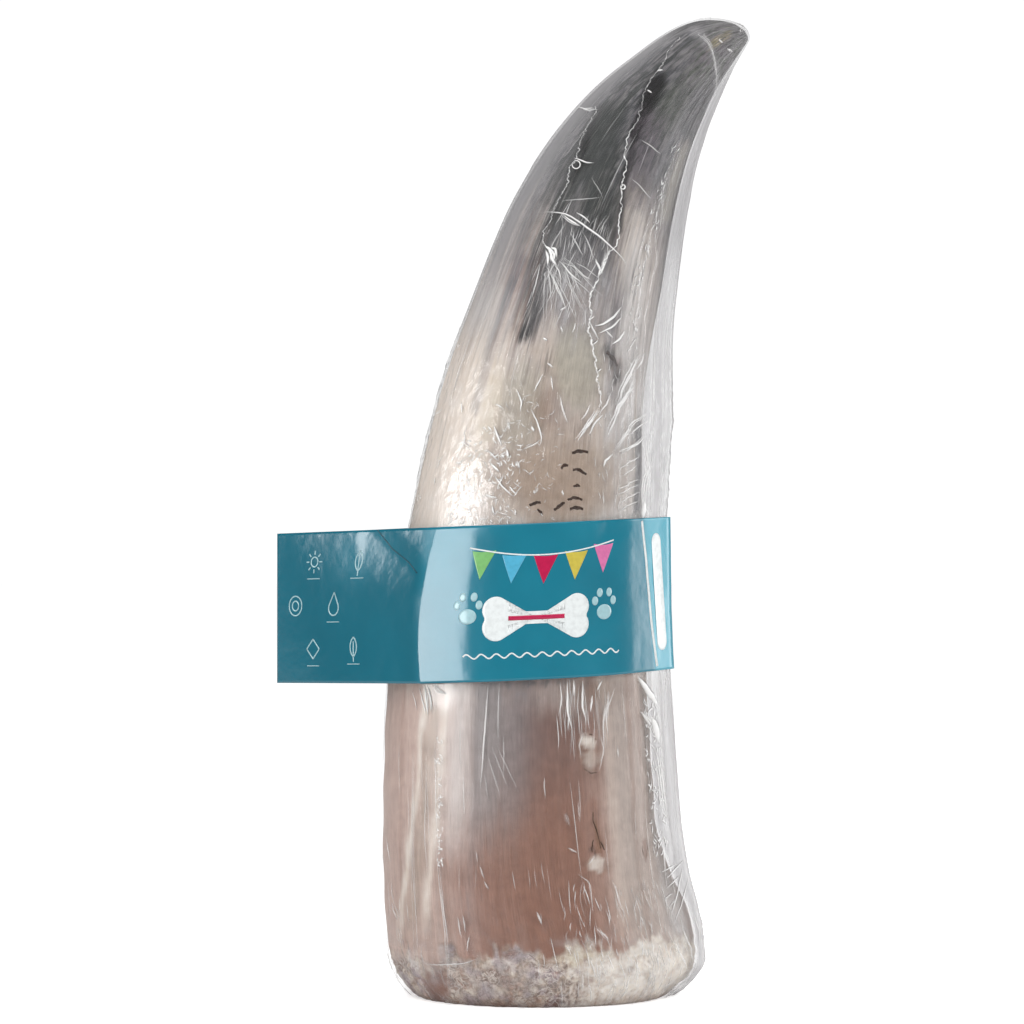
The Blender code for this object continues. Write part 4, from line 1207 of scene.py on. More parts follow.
# %% [markdown]
# ## Weld beads
# The sleeve is closed by a hot wire, which leaves a thin crooked bead of melted film, with a curl or a tuft
# where the wire dragged. Two run down the front from the tip. They are the same ridges, higher and rougher:
# the line's points are shifted by noise along it.

# %% Beads with curls and tufts
def loop(x, y, radius, turns=1.1, start=200, count=14):
    """A small curl: places round a centre."""
    a = np.radians(start + np.linspace(0, 360 * turns, count))
    return tuple(zip((x + radius * np.cos(a)).tolist(), (y + radius * np.sin(a)).tolist()))


RIGHT_BEAD = (
    (680, 38), (673, 45), (668, 53), (665, 61), (659, 70), (654, 75), (649, 84), (646, 90), (643, 95),
    (642, 105), (639, 118), (633, 127), (628, 136), (627, 143), (624, 154), (627, 161), (625, 171),
    (622, 182), (622, 192), (621, 209), (618, 220), (618, 237), (616, 246), (611, 250), (607, 257),
    (602, 265), (598, 279), (592, 291), (589, 302), (591, 317), (588, 329), (591, 342), (595, 360),
    (597, 382), (601, 398), (599, 408),
)
LEFT_BEAD = (
    (595, 107), (597, 111), (593, 118), (589, 125), (583, 136), (580, 145), (578, 157), (571, 166),
    (569, 175), (567, 186), (560, 198), (553, 212), (551, 221), (545, 230), (543, 241), (547, 248),
)
BEAD_STEPS = 260


def along_bead(apart, row, seed):
    """Noise along a bead: read on a line through the noise, at steps so far apart."""
    at, flat = np.arange(BEAD_STEPS) * apart, np.ones(BEAD_STEPS)
    return noise(np.stack([at, (row + 0.4) * flat, 0.3 * flat], -1), seed)


beads = through([RIGHT_BEAD, LEFT_BEAD], BEAD_STEPS)
walk = np.stack([along_bead(0.37, k, 90 + k) for k in range(2)])
beads[..., 0] += 1.5 * walk + 1.0 * noise(beads[..., [0, 1, 1]] * 0.30, 95)
beads += fold_rng.normal(0, 0.22, beads.shape)
bead_th, bead_t = under_pixel(beads[..., 0], beads[..., 1], film_face)
lumps = 0.22 * (1 + 0.8 * np.stack([along_bead(0.6, k, 96) for k in range(2)]))
# The right bead is faint near the tip, and its last third is broader and granular
bead_way = np.linspace(0, 1, BEAD_STEPS)
bead_white = np.stack([0.34 + 0.4 * smooth(0.10, 0.62, bead_way), 0.42 + 0.25 * smooth(0.75, 1.0, bead_way)])
bead_white = bead_white * (1 + 0.5 * fold_rng.uniform(-1, 1, bead_white.shape))
broad = np.stack([smooth(0.62, 0.78, bead_way), 0 * bead_way])
lumps = lumps * (1 + broad * fold_rng.uniform(0.1, 1.5, lumps.shape))
bead_piece = ridge_piece("film_weld_beads", bead_th, bead_t, lumps, 1.4 * lumps, bead_white, 0.8)
# Two curls and a few loose ends, and from the sixth on the six lines of the tuft, which are twice as wide
curls = [
    loop(576.5, 165, 4.6), ((574, 158), (580, 160), (587, 163), (594, 163)), loop(622.5, 187, 2.6),
    ((657, 71), (663, 70)), ((647, 90), (652, 93)),
    ((545, 246), (550, 249), (556, 255)), ((548, 247), (552, 254), (551, 262)),
    ((550, 248), (556, 249), (557, 258)), ((546, 250), (549, 258), (548, 266)),
    ((551, 250), (553, 260), (557, 266)), ((549, 252), (555, 254), (554, 262)),
    ((589, 320), (594, 316)), ((592, 345), (598, 340)), ((597, 372), (601, 368)),
]
CURL_HALF, TUFT_HALF, CURL_HIGH = 0.27, 0.55, np.full(len(curls), 0.5)
curl_places = through(curls, RIDGE_STEPS)
curl_th, curl_t = under_pixel(curl_places[..., 0], curl_places[..., 1], film_face)
curl_wide = np.full(len(curls), CURL_HALF)
curl_wide[5:11] = TUFT_HALF
curl_piece = ridge_piece(
    "film_weld_curls", curl_th, curl_t, curl_wide, CURL_HIGH, np.ones(len(curls)), closed_ends=0.3)

# %% [markdown]
# ## The folds' material
# Where the film is doubled or melted it scatters light and turns milky, so a fold shows as a white line. Its
# white is also a painted highlight where the fold catches the light, and the dark line beside it is painted
# shade. A thicker clear film could be rendered for that, but it takes many more samples. Here two attributes
# of the ridge mix clear, a milky gloss and a dark painted shade, and both fade to clear at its feet.

# %% Doubled film
fold_material, tree = new_material("doubled_film_painted_light")
white = node(tree, "Attribute", attribute_name="white").outputs["Fac"]
clear = node(tree, "BsdfTransparent", Color=(1, 1, 1, 1))
milk = node(tree, "BsdfPrincipled", {"Base Color": linear("#f8f7f6")}, Roughness=0.22, IOR=1.5)
body = node(tree, "MixShader", {0: white, 1: clear, 2: milk})
# the dark line beside a fold is painted shade
dark = node(tree, "Attribute", attribute_name="dark").outputs["Fac"]
painted_shade = node(tree, "BsdfDiffuse", Color=linear("#4f4a49"))
both = node(tree, "MixShader", {0: dark, 1: body, 2: painted_shade})
node(tree, "OutputMaterial", {"Surface": both})
film_pieces = [film, seen_folds, small_folds, back_folds, bead_piece, curl_piece]
for piece in film_pieces[1:]:
    piece.data.materials.append(fold_material)
print(fold_material.name, len(tree.nodes), "nodes")

# %% [markdown]
# ## Cracks in the horn's skin
# The skin has short dark growth marks above the band and a few ragged cracks low down, a tenth of a
# millimetre deep. They could be cut into the horn's mesh, but that is too coarse for them, so they are the
# same ridges again, low, dark and dull, on the horn's own surface.

# %% Cracks in the horn's skin
# Width in pixels, then x and y of each pixel on the line
CRACKS = (
    (1.9, 572, 453, 579, 451, 587, 452), (1.7, 561, 469, 565, 466, 569, 467),
    (1.7, 573, 470, 580, 470, 586, 474), (1.5, 574, 487, 577, 486, 580, 488),
    (1.6, 568, 500, 575, 497, 583, 498), (1.7, 554, 510, 559, 506, 565, 501),
    (1.9, 570, 509, 577, 508, 583, 510), (1.7, 529, 505, 535, 503, 540, 504),
    (1.3, 537, 509, 541, 511, 543, 514), (2.4, 607, 352, 613, 360, 617, 368),
    (0.6, 593, 812, 592, 822, 596, 832, 599, 848), (0.6, 594, 840, 591, 852),
    (0.35, 646, 838, 648, 848, 647, 857), (0.3, 642, 846, 645, 856), (0.8, 600, 842, 604, 849),
    (0.4, 585, 735, 592, 733, 597, 738), (0.4, 583, 768, 590, 773, 597, 771),
)
crack_px = through([np.reshape(path, (-1, 2)) for _, *path in CRACKS], RIDGE_STEPS)
crack_px = crack_px + np.cumsum(fold_rng.normal(0, 0.22, crack_px.shape), axis=1)
crack_th, crack_t = under_pixel(crack_px[..., 0], crack_px[..., 1], horn_surface)
crack_wide = np.array([crack[0] for crack in CRACKS]) * PX_MM / 2 * 2.4
crack_high = np.full(len(CRACKS), 0.08)
cracks = ridge_piece(
    "growth_cracks", crack_th, crack_t, crack_wide, crack_high, np.ones(len(CRACKS)), 0.75, horn_surface)
# Brown flecks of about 1 mm: 900 to the metre
crack_material, tree = new_material("cracked_keratin")
place = node(tree, "TexCoord")
flecks = node(tree, "TexNoise", {"Vector": place.outputs["Object"]}, Scale=900.0, Detail=3.0)
brown = node(tree, "Mix", {0: flecks, 6: linear("#180e0a"), 7: linear("#4d3426")}, data_type="RGBA")
shader = node(tree, "BsdfPrincipled", {"Base Color": brown.outputs[2]}, Roughness=0.8)
node(tree, "OutputMaterial", {"Surface": shader})
cracks.data.materials.append(crack_material)

# %% [markdown]
# ## The label band
# A strip of printed plastic goes once round the film, and its two ends are stuck back to back as a flag.
# The flag is pushed back, so its front ply leaves the horn almost straight, at one fold. It is limp, so it
# also has creases across the flag and soft waves. It is one sheet: a path in plan worked out for each
# height, so that the fold can bow, and thickened at the end.

# %% The band's size and its fold
LABEL_TALL, LABEL_THICK, LABEL_OFF, PLY_GAP = 38.7, 0.30, 1.425, 0.14
MIDDLE_Z, CLIMB = 101.0, 0.043
# The two plies part at FLAG_ROOT of the way from the fold to the flag's end
FLAG_END, FLAG_ROOT = np.array([-60.6, 17.5]), 0.45
# At the lower edge, the middle and the upper edge of the band: angle of the fold, how far it stands off,
# and the angle at which the back ply leaves the film, one turn on
FOLD_ANGLE = np.array([228.4, 223.2, 225.4])
FOLD_OFF = np.array([2.8, 1.9, 1.2])
LEAVE_ANGLE = np.array([515.0, 509.0, 504.5])
# The band is flatter than the film for some degrees past the fold, and stands off there
FLAT_DEGREES, FLAT_OFF = np.array([0, 14, 18, 22, 28, 46]), np.array([0.0, 0.85, 0.95, 0.90, 0.65, 0.0])


def label_middle(x):
    """Height of the band's middle line: it climbs to +X by 4.3 in 100."""
    return MIDDLE_Z + CLIMB * (x - 8.0)


def skin_at(th, z, off):
    """The skin's point at angle th whose height is z: t is found by stepping towards it, a unit of t for
    each 25 mm that are left."""
    t = t_at(z) * np.ones_like(th * z)
    for _ in range(12):
        t = np.clip(t + (z - skin(th, t, off)[..., 2]) / 25.0, 0, LAST - 1)
    return skin(th, t, off)


def parabola(v, values):
    """The parabola through three values at v = 0, 0.5 and 1."""
    low, mid, high = values
    return low + v * (4 * mid - 3 * low - high) + v * v * (2 * low + 2 * high - 4 * mid)


print("the fold half way up is at", round(parabola(0.5, FOLD_ANGLE), 1), "degrees")


# %% The band's path
def label_path(v):
    """Plan of the band's middle surface at v (0 at its lower edge, 1 at its upper), with z: along the
    flag's front ply to the fold, round the film, and by a rounded bend at the root back along the flag."""
    fold, fold_off, leave = (parabola(v, row) for row in (FOLD_ANGLE, FOLD_OFF, LEAVE_ANGLE))
    turns = np.concatenate([
        [fold], np.linspace(fold + 14, 316, 60), np.linspace(317.5, 402.5, 69), np.linspace(404, leave, 60),
    ])
    ang = np.radians(turns)
    off = LABEL_OFF + np.interp(turns - fold, FLAT_DEGREES, FLAT_OFF) * (1 - 0.35 * v)
    off[0] = LABEL_OFF + fold_off
    z = np.full(ang.shape, MIDDLE_Z)
    for _ in range(3):
        body = skin_at(ang, z, off)
        z = label_middle(body[:, 0]) + (v - 0.5) * LABEL_TALL
    b0, b1 = body[0, :2], body[-1, :2]
    way = (b0 - FLAG_END) / np.linalg.norm(b0 - FLAG_END)
    half = (LABEL_THICK + PLY_GAP) / 2 * np.array([way[1], -way[0]])
    front_end, back_end = FLAG_END + half, FLAG_END - half
    root = b0 + FLAG_ROOT * (front_end - b0) - 2 * half
    f, g = np.linspace(0, 1, 90)[:, None], np.linspace(0, 1, 25)[1:, None]
    # The back ply turns at the root by a quadratic curve whose middle control point is the root itself
    start, stop = root + 0.05 * (b1 - root), root + 0.05 * (back_end - root)
    curve = (1 - g) ** 2 * start + 2 * g * (1 - g) * root + g**2 * stop
    plan = np.concatenate([
        front_end + (b0 - front_end) * f[:-1], body[:, :2], b1 + (start - b1) * g, curve,
        stop + (back_end - stop) * g,
    ])
    return np.column_stack([plan, label_middle(plan[:, 0]) + (v - 0.5) * LABEL_TALL])


LABEL_V = np.linspace(0, 1, 61)
label_rows = np.stack([label_path(v) for v in LABEL_V])
label_step = np.gradient(label_rows[..., :2], axis=1)
label_step /= np.linalg.norm(label_step, axis=2, keepdims=True)
along_x, along_y = label_step[..., :1], label_step[..., 1:]
label_out = np.concatenate([along_y, -along_x, np.zeros_like(along_x)], -1)
middle_row = label_rows[len(LABEL_V) // 2]
LABEL_U = np.concatenate([[0], np.cumsum(np.linalg.norm(np.diff(middle_row[:, :2], axis=0), axis=1))])
print("band", round(float(LABEL_U[-1]), 1), "mm from end to end")

# %% Creases and waves
label_x, label_y = seen(label_rows)
on_front = (np.arange(label_rows.shape[1]) <= np.argmax(middle_row[:, 0]))[None, :] * 1.0


def away_from(ax, ay, bx, by):
    """Signed distance in pixels from the line through two pixels, positive to its right, and the share of
    the way along it."""
    dx, dy = bx - ax, by - ay
    size = math.hypot(dx, dy)
    across = ((label_x - ax) * dy - (label_y - ay) * dx) / -size
    return -across, ((label_x - ax) * dx + (label_y - ay) * dy) / size**2


# Three valley folds in the flag's front ply: the long slanting one, and two that fan out to the lower edge
slant, slant_way = away_from(367, 529, 424, 584)
crease = np.where(slant > 0, np.clip(1 - slant / 20, 0, 1), np.clip(1 + slant / 30, 0, 1))
crease = crease * smooth(-0.10, 0.05, slant_way) * (1 - smooth(0.85, 1.1, slant_way))
fan = 0
for foot_x in (379, 404):
    low_fold, low_way = away_from(foot_x, 684, 391, 640)
    valley = np.clip(1 - np.abs(low_fold) / 9, 0, 1) * (1 - smooth(0.5, 1.1, low_way))
    fan = np.maximum(fan, valley)
on_flag = 1 - smooth(412, 426, label_x - 0.07 * (604 - label_y) * (label_y < 604))
notch = blob(label_x, label_y, 599, 521, 5, 13, soft=0.9)
dent = blob(label_x, label_y, 612, 528, 12, 9, -20, soft=0.9)
band_grain = np.stack([label_x * 0.25, label_y * 0.25, np.zeros_like(label_x)], -1)
waves = 0.16 * noise(band_grain / (9.0, 26.0, 1.0), 101)
waves = waves + 0.05 * noise(band_grain / (3.5, 7.0, 1.0), 102)
flag_wave = 0.12 * noise(band_grain / (16.0, 22.0, 1.0), 103) * (1 - smooth(350, 400, label_x))
creased_part = smooth(356, 366, label_x)
lift = on_front * (0.45 * notch - 0.25 * dent + waves * (1 - 0.9 * on_flag) + 0.08)
lift = lift * smooth(277, 300, label_x)
lift = lift + on_front * np.maximum(flag_wave, -0.04) * smooth(276, 300, label_x)
lift = np.maximum(lift, -0.05) - on_front * on_flag * creased_part * (0.30 * crease + 0.07 * fan)
label_rows = label_rows + label_out * lift[..., None]
print("the sheet is moved out by", lift.min().round(2), "to", lift.max().round(2), "mm")

# %% The sheet itself
outer_sheet, inner_sheet = label_rows + label_out * LABEL_THICK / 2, label_rows - label_out * LABEL_THICK / 2
section = np.concatenate([outer_sheet, inner_sheet[::-1]], 0)
n_v, n_u = section.shape[:2]
k = np.arange(n_v // 2 - 1)
cap = np.stack([k, k + 1, n_v - 2 - k, n_v - 1 - k], -1)
label_quads = np.concatenate([grid_faces(n_u, n_v, flip=True), cap, cap[:, ::-1] + (n_u - 1) * n_v])
label = new_piece("label_band_print", section.transpose(1, 0, 2).reshape(-1, 3), label_quads)
# Painted light: past the band's +X side, where no horn backs it, the print is painted lighter for the
# daylight that comes through it
free = smooth(640, 646, label_x - 0.075 * (label_y - 519)) * on_front
put_attribute(label, "painted_backlight", np.concatenate([free, free[::-1] * 0], 0).transpose(1, 0).ravel())
# The flag is painted deeper teal: partly as its two plies lie on each other with nothing pale behind them,
# partly as painted shade. Less so at its upper middle, a painted reflection where its bend catches the
# softbox
deep = on_flag * on_front * (1 - 0.35 * blob(label_x, label_y, 358, 552, 30, 26, soft=0.9))
put_attribute(label, "doubled", np.concatenate([deep, deep[::-1]], 0).transpose(1, 0).ravel())

# %% [markdown]
# ## The print on the band
# Inks are laid on the band as plates a few hundredths of a millimetre thick, so that their edges stay sharp
# from any distance. A drawing is made in millimetres along the band (u) and up it (w), and a function
# carries it onto the sheet. The motifs are plain ones for a dog's chew: bunting, a bone, paws and small
# signs of nature.

# %% From the drawing to the band
INK_LIFT, INK_SINK, RING_MM = 0.06, 0.05, 0.6
INKS = {
    "white": "#eef3f3", "pale": "#a9cfd6", "crimson": "#c3194f", "pink": "#e079ae", "yellow": "#d2c04f",
    "green": "#7fbf72", "sky": "#56b4d6", "navy": "#0f4553",
}
ink_points, ink_quads, ink_tris, ink_colours = [], [], [], []


def on_label(u, w, lift):
    """Points of the band's outer face at u mm from the flag's end and w mm above the lower edge, read
    between the nearest rows and columns."""
    i = np.clip(w / LABEL_TALL * (len(LABEL_V) - 1), 0, len(LABEL_V) - 1.001)
    j = np.clip(np.interp(u, LABEL_U, np.arange(len(LABEL_U))), 0, len(LABEL_U) - 1.001)
    i0, j0 = i.astype(int), j.astype(int)
    fi, fj = (i - i0)[..., None], (j - j0)[..., None]
    out = 0
    for grid, share in ((label_rows, 1.0), (label_out, LABEL_THICK / 2 + lift)):
        low = grid[i0, j0] * (1 - fj) + grid[i0, j0 + 1] * fj
        high = grid[i0 + 1, j0] * (1 - fj) + grid[i0 + 1, j0 + 1] * fj
        out = out + share * (low * (1 - fi) + high * fi)
    return out


def at_pixel(x, y):
    """u and w of the front of the band under a pixel."""
    last = int(np.argmax(middle_row[:, 0]))
    mid_x = seen(label_rows[len(LABEL_V) // 2, :last])[0]
    low_y, high_y = seen(label_rows[0, :last])[1], seen(label_rows[-1, :last])[1]
    low, high = np.interp(x, mid_x, low_y), np.interp(x, mid_x, high_y)
    return np.array([np.interp(x, mid_x, LABEL_U[:last]), LABEL_TALL * (low - y) / (low - high)])


def keep_ink(points, quads, tris, ink):
    """Keeps one plate of ink, its faces counted on from the points before it."""
    first = sum(len(p) for p in ink_points)
    ink_points.append(points)
    ink_quads.append(np.asarray(quads).reshape(-1, 4) + first)
    ink_tris.append(np.asarray(tris).reshape(-1, 3) + first)
    ink_colours.append(np.tile(linear(INKS[ink]), (len(points), 1)))


print("the middle of the front is at u, w", at_pixel(537, 604).round(1))


# %% Filled shapes and drawn lines
def ink_fill(outline, ink, extra=0.0):
    """A filled shape: its outline shrunk towards its middle in rings 0.6 mm apart, above and below, closed
    at both middles."""
    outline = np.asarray(outline, float)
    area = np.sum(outline[:, 0] * np.roll(outline[:, 1], -1) - outline[:, 1] * np.roll(outline[:, 0], -1))
    outline = outline if area > 0 else outline[::-1]
    middle = outline.mean(0)
    n_rings = max(2, math.ceil(np.hypot(*(outline - middle).T).max() / RING_MM))
    shares = 1 - np.arange(n_rings) / n_rings
    rings = middle + shares[:, None, None] * (outline - middle)
    top = on_label(rings[..., 0], rings[..., 1], INK_LIFT + extra)
    under = on_label(rings[..., 0], rings[..., 1], -INK_SINK)
    n = len(outline)
    points = np.concatenate([under[::-1].reshape(-1, 3), top.reshape(-1, 3)])
    poles = np.stack([on_label(middle[:1], middle[1:], s)[0] for s in (-INK_SINK, INK_LIFT + extra)])
    j = np.arange(n)
    k = (j + 1) % n
    low_pole = 2 * n_rings * n
    last = low_pole - n
    tris = np.concatenate([
        np.stack([k, j, np.full(n, low_pole)], -1),
        np.stack([last + j, last + k, np.full(n, low_pole + 1)], -1),
    ])
    keep_ink(np.concatenate([points, poles]), grid_faces(2 * n_rings, n), tris, ink)


def ink_line(path, wide, ink, extra=0.01):
    """A drawn line: a strip with thickness carried along a path."""
    path = np.asarray(path, float)
    along = np.gradient(path, axis=0)
    along /= np.linalg.norm(along, axis=1)[:, None]
    aside = np.column_stack([-along[:, 1], along[:, 0]]) * wide / 2
    left, right = path + aside, path - aside
    loop_points = [
        on_label(left[:, 0], left[:, 1], INK_LIFT + extra), on_label(left[:, 0], left[:, 1], -INK_SINK),
        on_label(right[:, 0], right[:, 1], -INK_SINK), on_label(right[:, 0], right[:, 1], INK_LIFT + extra),
    ]
    n = len(path)
    points = np.stack(loop_points, 1).reshape(-1, 3)
    caps = np.array([(0, 1, 2, 3), (4 * n - 1, 4 * n - 2, 4 * n - 3, 4 * n - 4)])
    keep_ink(points, np.concatenate([grid_faces(n, 4, flip=True), caps[:, ::-1]]), [], ink)


def arc(middle, radius, start=0, stop=360, count=33, squash=1.0):
    """Places on a circle or an ellipse."""
    a = np.radians(np.linspace(start, stop, count))
    return np.array(middle) + np.column_stack([radius * np.cos(a), squash * radius * np.sin(a)])


def straight_line(a, b, count=12):
    """Places from a to b: a + f (b - a)."""
    return np.array(a) + np.linspace(0, 1, count)[:, None] * (np.array(b) - np.array(a))


print("inks", *INKS)


# %% Bunting, bone and paws on the front
def pennant(middle, wide, tall, ink):
    """A hanging flag: a triangle with a slightly hollow top edge and straight sides."""
    top = straight_line((-wide / 2, 0), (wide / 2, 0), 14)
    top[:, 1] -= 0.35 * (1 - (2 * top[:, 0] / wide) ** 2)
    right, left = straight_line((wide / 2, 0), (0, -tall)), straight_line((0, -tall), (-wide / 2, 0))
    ink_fill(np.concatenate([top, right[1:], left[1:-1]]) + middle, ink)


def bone_outline(middle, long, tall):
    """A bone: at each end two round lobes, side by side up and down, and a shaft between the ends that bows
    in a little."""
    lobe = 0.3 * tall
    shaft = straight_line((-(long / 2 - 1.9 * lobe), 0), (long / 2 - 1.9 * lobe, 0), 18)
    shaft[:, 1] += 0.19 * tall - 0.05 * tall * (1 - (2 * shaft[:, 0] / long) ** 2)
    upper = arc((long / 2 - lobe, tall / 2 - lobe), lobe, 160, -35, 16)
    right = np.concatenate([upper, upper[::-1] * (1, -1)])
    return np.concatenate([shaft, right, shaft[::-1] * (1, -1), -right]) + middle


def paw(middle, size, ink):
    """A paw print: a broad pad and four toes round it."""
    ink_fill(arc(middle - np.array([0, 0.18 * size]), 0.36 * size, squash=0.82, count=25)[:-1], ink)
    for turn, reach in ((150, 0.52), (112, 0.62), (68, 0.62), (30, 0.52)):
        a = math.radians(turn)
        toe = middle + reach * size * np.array([math.cos(a), math.sin(a)])
        ink_fill(arc(toe, 0.14 * size, squash=1.25, count=17)[:-1], ink)


cord_left, cord_right = at_pixel(462, 548), at_pixel(612, 540)
hang = straight_line(cord_left, cord_right, 60)
hang[:, 1] -= 2.6 * np.sin(np.linspace(0, math.pi, 60))
ink_line(hang, 0.34, "white", 0.02)
for k, ink in enumerate(("green", "sky", "crimson", "yellow", "pink")):
    pennant(hang[6 + 12 * k], 6.4, 7.2, ink)
bone_middle = at_pixel(537, 617)
ink_fill(bone_outline(bone_middle, 27.0, 11.0), "white", 0.03)
ink_line(straight_line(bone_middle - (7.0, 0), bone_middle + (7.0, 0), 20), 1.1, "crimson", 0.07)
paw(at_pixel(468, 612), 6.4, "pale")
paw(at_pixel(604, 607), 6.4, "pale")
wave = straight_line(at_pixel(462, 657), at_pixel(618, 650), 120)
wave[:, 1] += 0.55 * np.sin(np.linspace(0, 22 * math.pi, 120))
ink_line(wave, 0.36, "white")
print(len(ink_points), "plates of ink so far")

# %% Small signs on the flag, and the bare panel at the side
LINE = 0.34


def sign_leaf(m, r):
    """A leaf with its middle at m: two arcs of 106 degrees that meet at both ends, and a stalk."""
    for turn, first in ((1, -53), (-1, 127)):
        ink_line(arc(m + (-turn * 0.75 * r, 0), 1.25 * r, first, first + 106, 18), LINE, "pale")
    ink_line(straight_line(m - (0, 1.5 * r), m + (0, 0.6 * r)), LINE, "pale")


def sign_drop(m, r):
    """A drop: two thirds of a circle, closed by two straight lines to a point above it."""
    low = arc(m - (0, 0.3 * r), 0.75 * r, 150, 390, 24)
    ink_line(np.concatenate([[m + (0, 1.3 * r)], low, [m + (0, 1.3 * r)]]), LINE, "pale")


def sign_ring(m, r):
    """Two circles, one inside the other."""
    ink_line(arc(m, r), LINE, "pale")
    ink_line(arc(m, 0.5 * r), LINE, "pale")


def sign_diamond(m, r):
    """A square that stands on its corner."""
    corners = ((0, r), (r, 0), (0, -r), (-r, 0), (0, r))
    sides = [straight_line(m + a, m + b, 6) for a, b in zip(corners[:-1], corners[1:])]
    ink_line(np.concatenate(sides), LINE, "pale")


def sign_sun(m, r):
    """A small circle with eight rays."""
    ink_line(arc(m, 0.5 * r), LINE, "pale")
    for turn in range(0, 360, 45):
        way = np.array([math.cos(math.radians(turn)), math.sin(math.radians(turn))])
        ink_line(straight_line(m + 0.75 * r * way, m + 1.15 * r * way, 4), LINE, "pale")


for x, y, sign in (
    (313, 562, sign_sun), (355, 561, sign_leaf), (296, 606, sign_ring), (334, 605, sign_drop),
    (314, 649, sign_diamond), (355, 647, sign_leaf),
):
    middle = at_pixel(x, y)
    sign(middle, 2.5)
    if sign is not sign_ring:
        ink_line(straight_line(middle - (2.4, 4.3), middle + (2.4, -4.3)), 0.22, "pale")
side_top, side_low = at_pixel(656, 533), at_pixel(660, 650)
PANEL_HALF = 2.2
panel_top = arc(side_top - (0, PANEL_HALF), PANEL_HALF, 0, 180, 14)
panel = np.concatenate([panel_top, arc(side_low + (0, PANEL_HALF), PANEL_HALF, 180, 360, 14)])
ink_fill(panel, "white")
# A painted highlight in white ink along the band's crease at the side, where it catches the right-hand
# light, and a painted shadow in navy ink in the flag's slanting crease
for pixels, wide, ink, extra in (
    (((641.5, 521), (646, 560), (650, 620), (654, 666)), 1.0, "white", 0.02),
    (((367, 530), (384, 549), (402, 562), (412, 573)), 0.22, "navy", 0.0),
):
    ink_line(through([[at_pixel(x, y) for x, y in pixels]], 40)[0], wide, ink, extra)
plates, quads, tris = (np.concatenate(parts) for parts in (ink_points, ink_quads, ink_tris))
inks = new_piece("label_inks", plates, quads, tris)
put_attribute(inks, "ink", np.concatenate(ink_colours))

# %% [markdown]
# ## The band's material
# The strip is polypropylene film printed by gravure and varnished. The varnish gives a clear gloss, index
# 1.55 and roughness near 0.23, less where the flag is drawn flat, with a faint orange peel. The teal ink is
# a little uneven. Past the band's +X side it is painted lighter, as painted light that comes through the
# print, and on the flag it is painted darker: partly its two plies, partly painted shade.

# %% Varnished print
label_material, tree = new_material("varnished_polypropylene")
place = node(tree, "TexCoord")
cloud = node(tree, "TexNoise", {"Vector": place.outputs["Object"]}, Scale=45.0, Detail=3.0)
cloud_share = node(tree, "MapRange", {"Value": cloud}, From_Min=0.3, From_Max=0.7)
teal = node(tree, "Mix", {0: cloud_share, 6: linear("#0e7288"), 7: linear("#137f96")}, data_type="RGBA")
peel = node(tree, "TexNoise", {"Vector": place.outputs["Object"]}, Scale=260.0, Detail=2.0)
bump = node(tree, "Bump", {"Height": peel}, Strength=0.25, Distance=0.0003)
# painted light: the teal turns pale cyan where no horn backs the band
painted_backlight = node(tree, "Attribute", attribute_name="painted_backlight").outputs["Fac"]
painted_backlight_share = node(tree, "Math", {0: painted_backlight, 1: 0.6}, operation="MULTIPLY")
inked = node(tree, "Mix", {0: painted_backlight_share, 6: teal.outputs[2], 7: linear("#5fc0d6")}, data_type="RGBA")
doubled = node(tree, "Attribute", attribute_name="doubled").outputs["Fac"]
polish = node(tree, "MapRange", {"Value": doubled}, To_Min=0.23, To_Max=0.14)
# painted shade on the flag, with the deeper teal of its two plies
flag_shade_share = node(tree, "Math", {0: doubled, 1: 0.5}, operation="MULTIPLY")
inked = node(tree, "Mix", {0: flag_shade_share, 6: inked.outputs[2], 7: linear("#0a5263")}, data_type="RGBA")
shader = node(
    tree, "BsdfPrincipled", {"Base Color": inked.outputs[2], "Normal": bump, "Roughness": polish}, IOR=1.55)
node(tree, "OutputMaterial", {"Surface": shader})
label.data.materials.append(label_material)

ink_material, tree = new_material("gravure_ink")
ink = node(tree, "Attribute", attribute_name="ink").outputs["Color"]
place = node(tree, "TexCoord")
grain_noise = node(tree, "TexNoise", {"Vector": place.outputs["Object"]}, Scale=900.0, Detail=2.0)
worn_grey = node(tree, "MapRange", {"Value": grain_noise}, From_Min=0.3, From_Max=0.6, To_Min=0.88)
worn = node(tree, "Mix", {6: ink, 7: worn_grey}, data_type="RGBA", blend_type="MULTIPLY")
worn.inputs[0].default_value = 1.0
shader = node(tree, "BsdfPrincipled", {"Base Color": worn.outputs[2]}, Roughness=0.22, IOR=1.5)
node(tree, "OutputMaterial", {"Surface": shader})
inks.data.materials.append(ink_material)
print(label_material.name, "and", ink_material.name)

# %% [markdown]
# ## Floor, light and camera
# The photograph was cut out on white. A floor that glows white for the camera alone, in an even white room,
# gives that without lighting the horn from below. A tall softbox at the left makes the film's long
# highlight, and two broad ones that only light the colours fill in, because a real studio hides its lamps
# from gloss as well.

# %% The floor
FLOOR_GLOW, FLOOR_HALF_MM = 0.55, 6000
floor_corners = FLOOR_HALF_MM * np.array([(-1, -1, 0), (1, -1, 0), (1, 1, 0), (-1, 1, 0)], float)
floor = new_piece("floor_sheet", floor_corners, [(0, 1, 2, 3)])
floor_material, tree = new_material("white_floor")
matte = node(tree, "BsdfDiffuse", Color=(0.9, 0.9, 0.9, 1))
glow = node(tree, "Emission", Color=(1, 1, 1, 1), Strength=FLOOR_GLOW)
both = node(tree, "AddShader", {0: matte, 1: glow})
rays = node(tree, "LightPath")
shader = node(tree, "MixShader", {0: rays.outputs["Is Camera Ray"], 1: matte, 2: both})
node(tree, "OutputMaterial", {"Surface": shader})
floor.data.materials.append(floor_material)

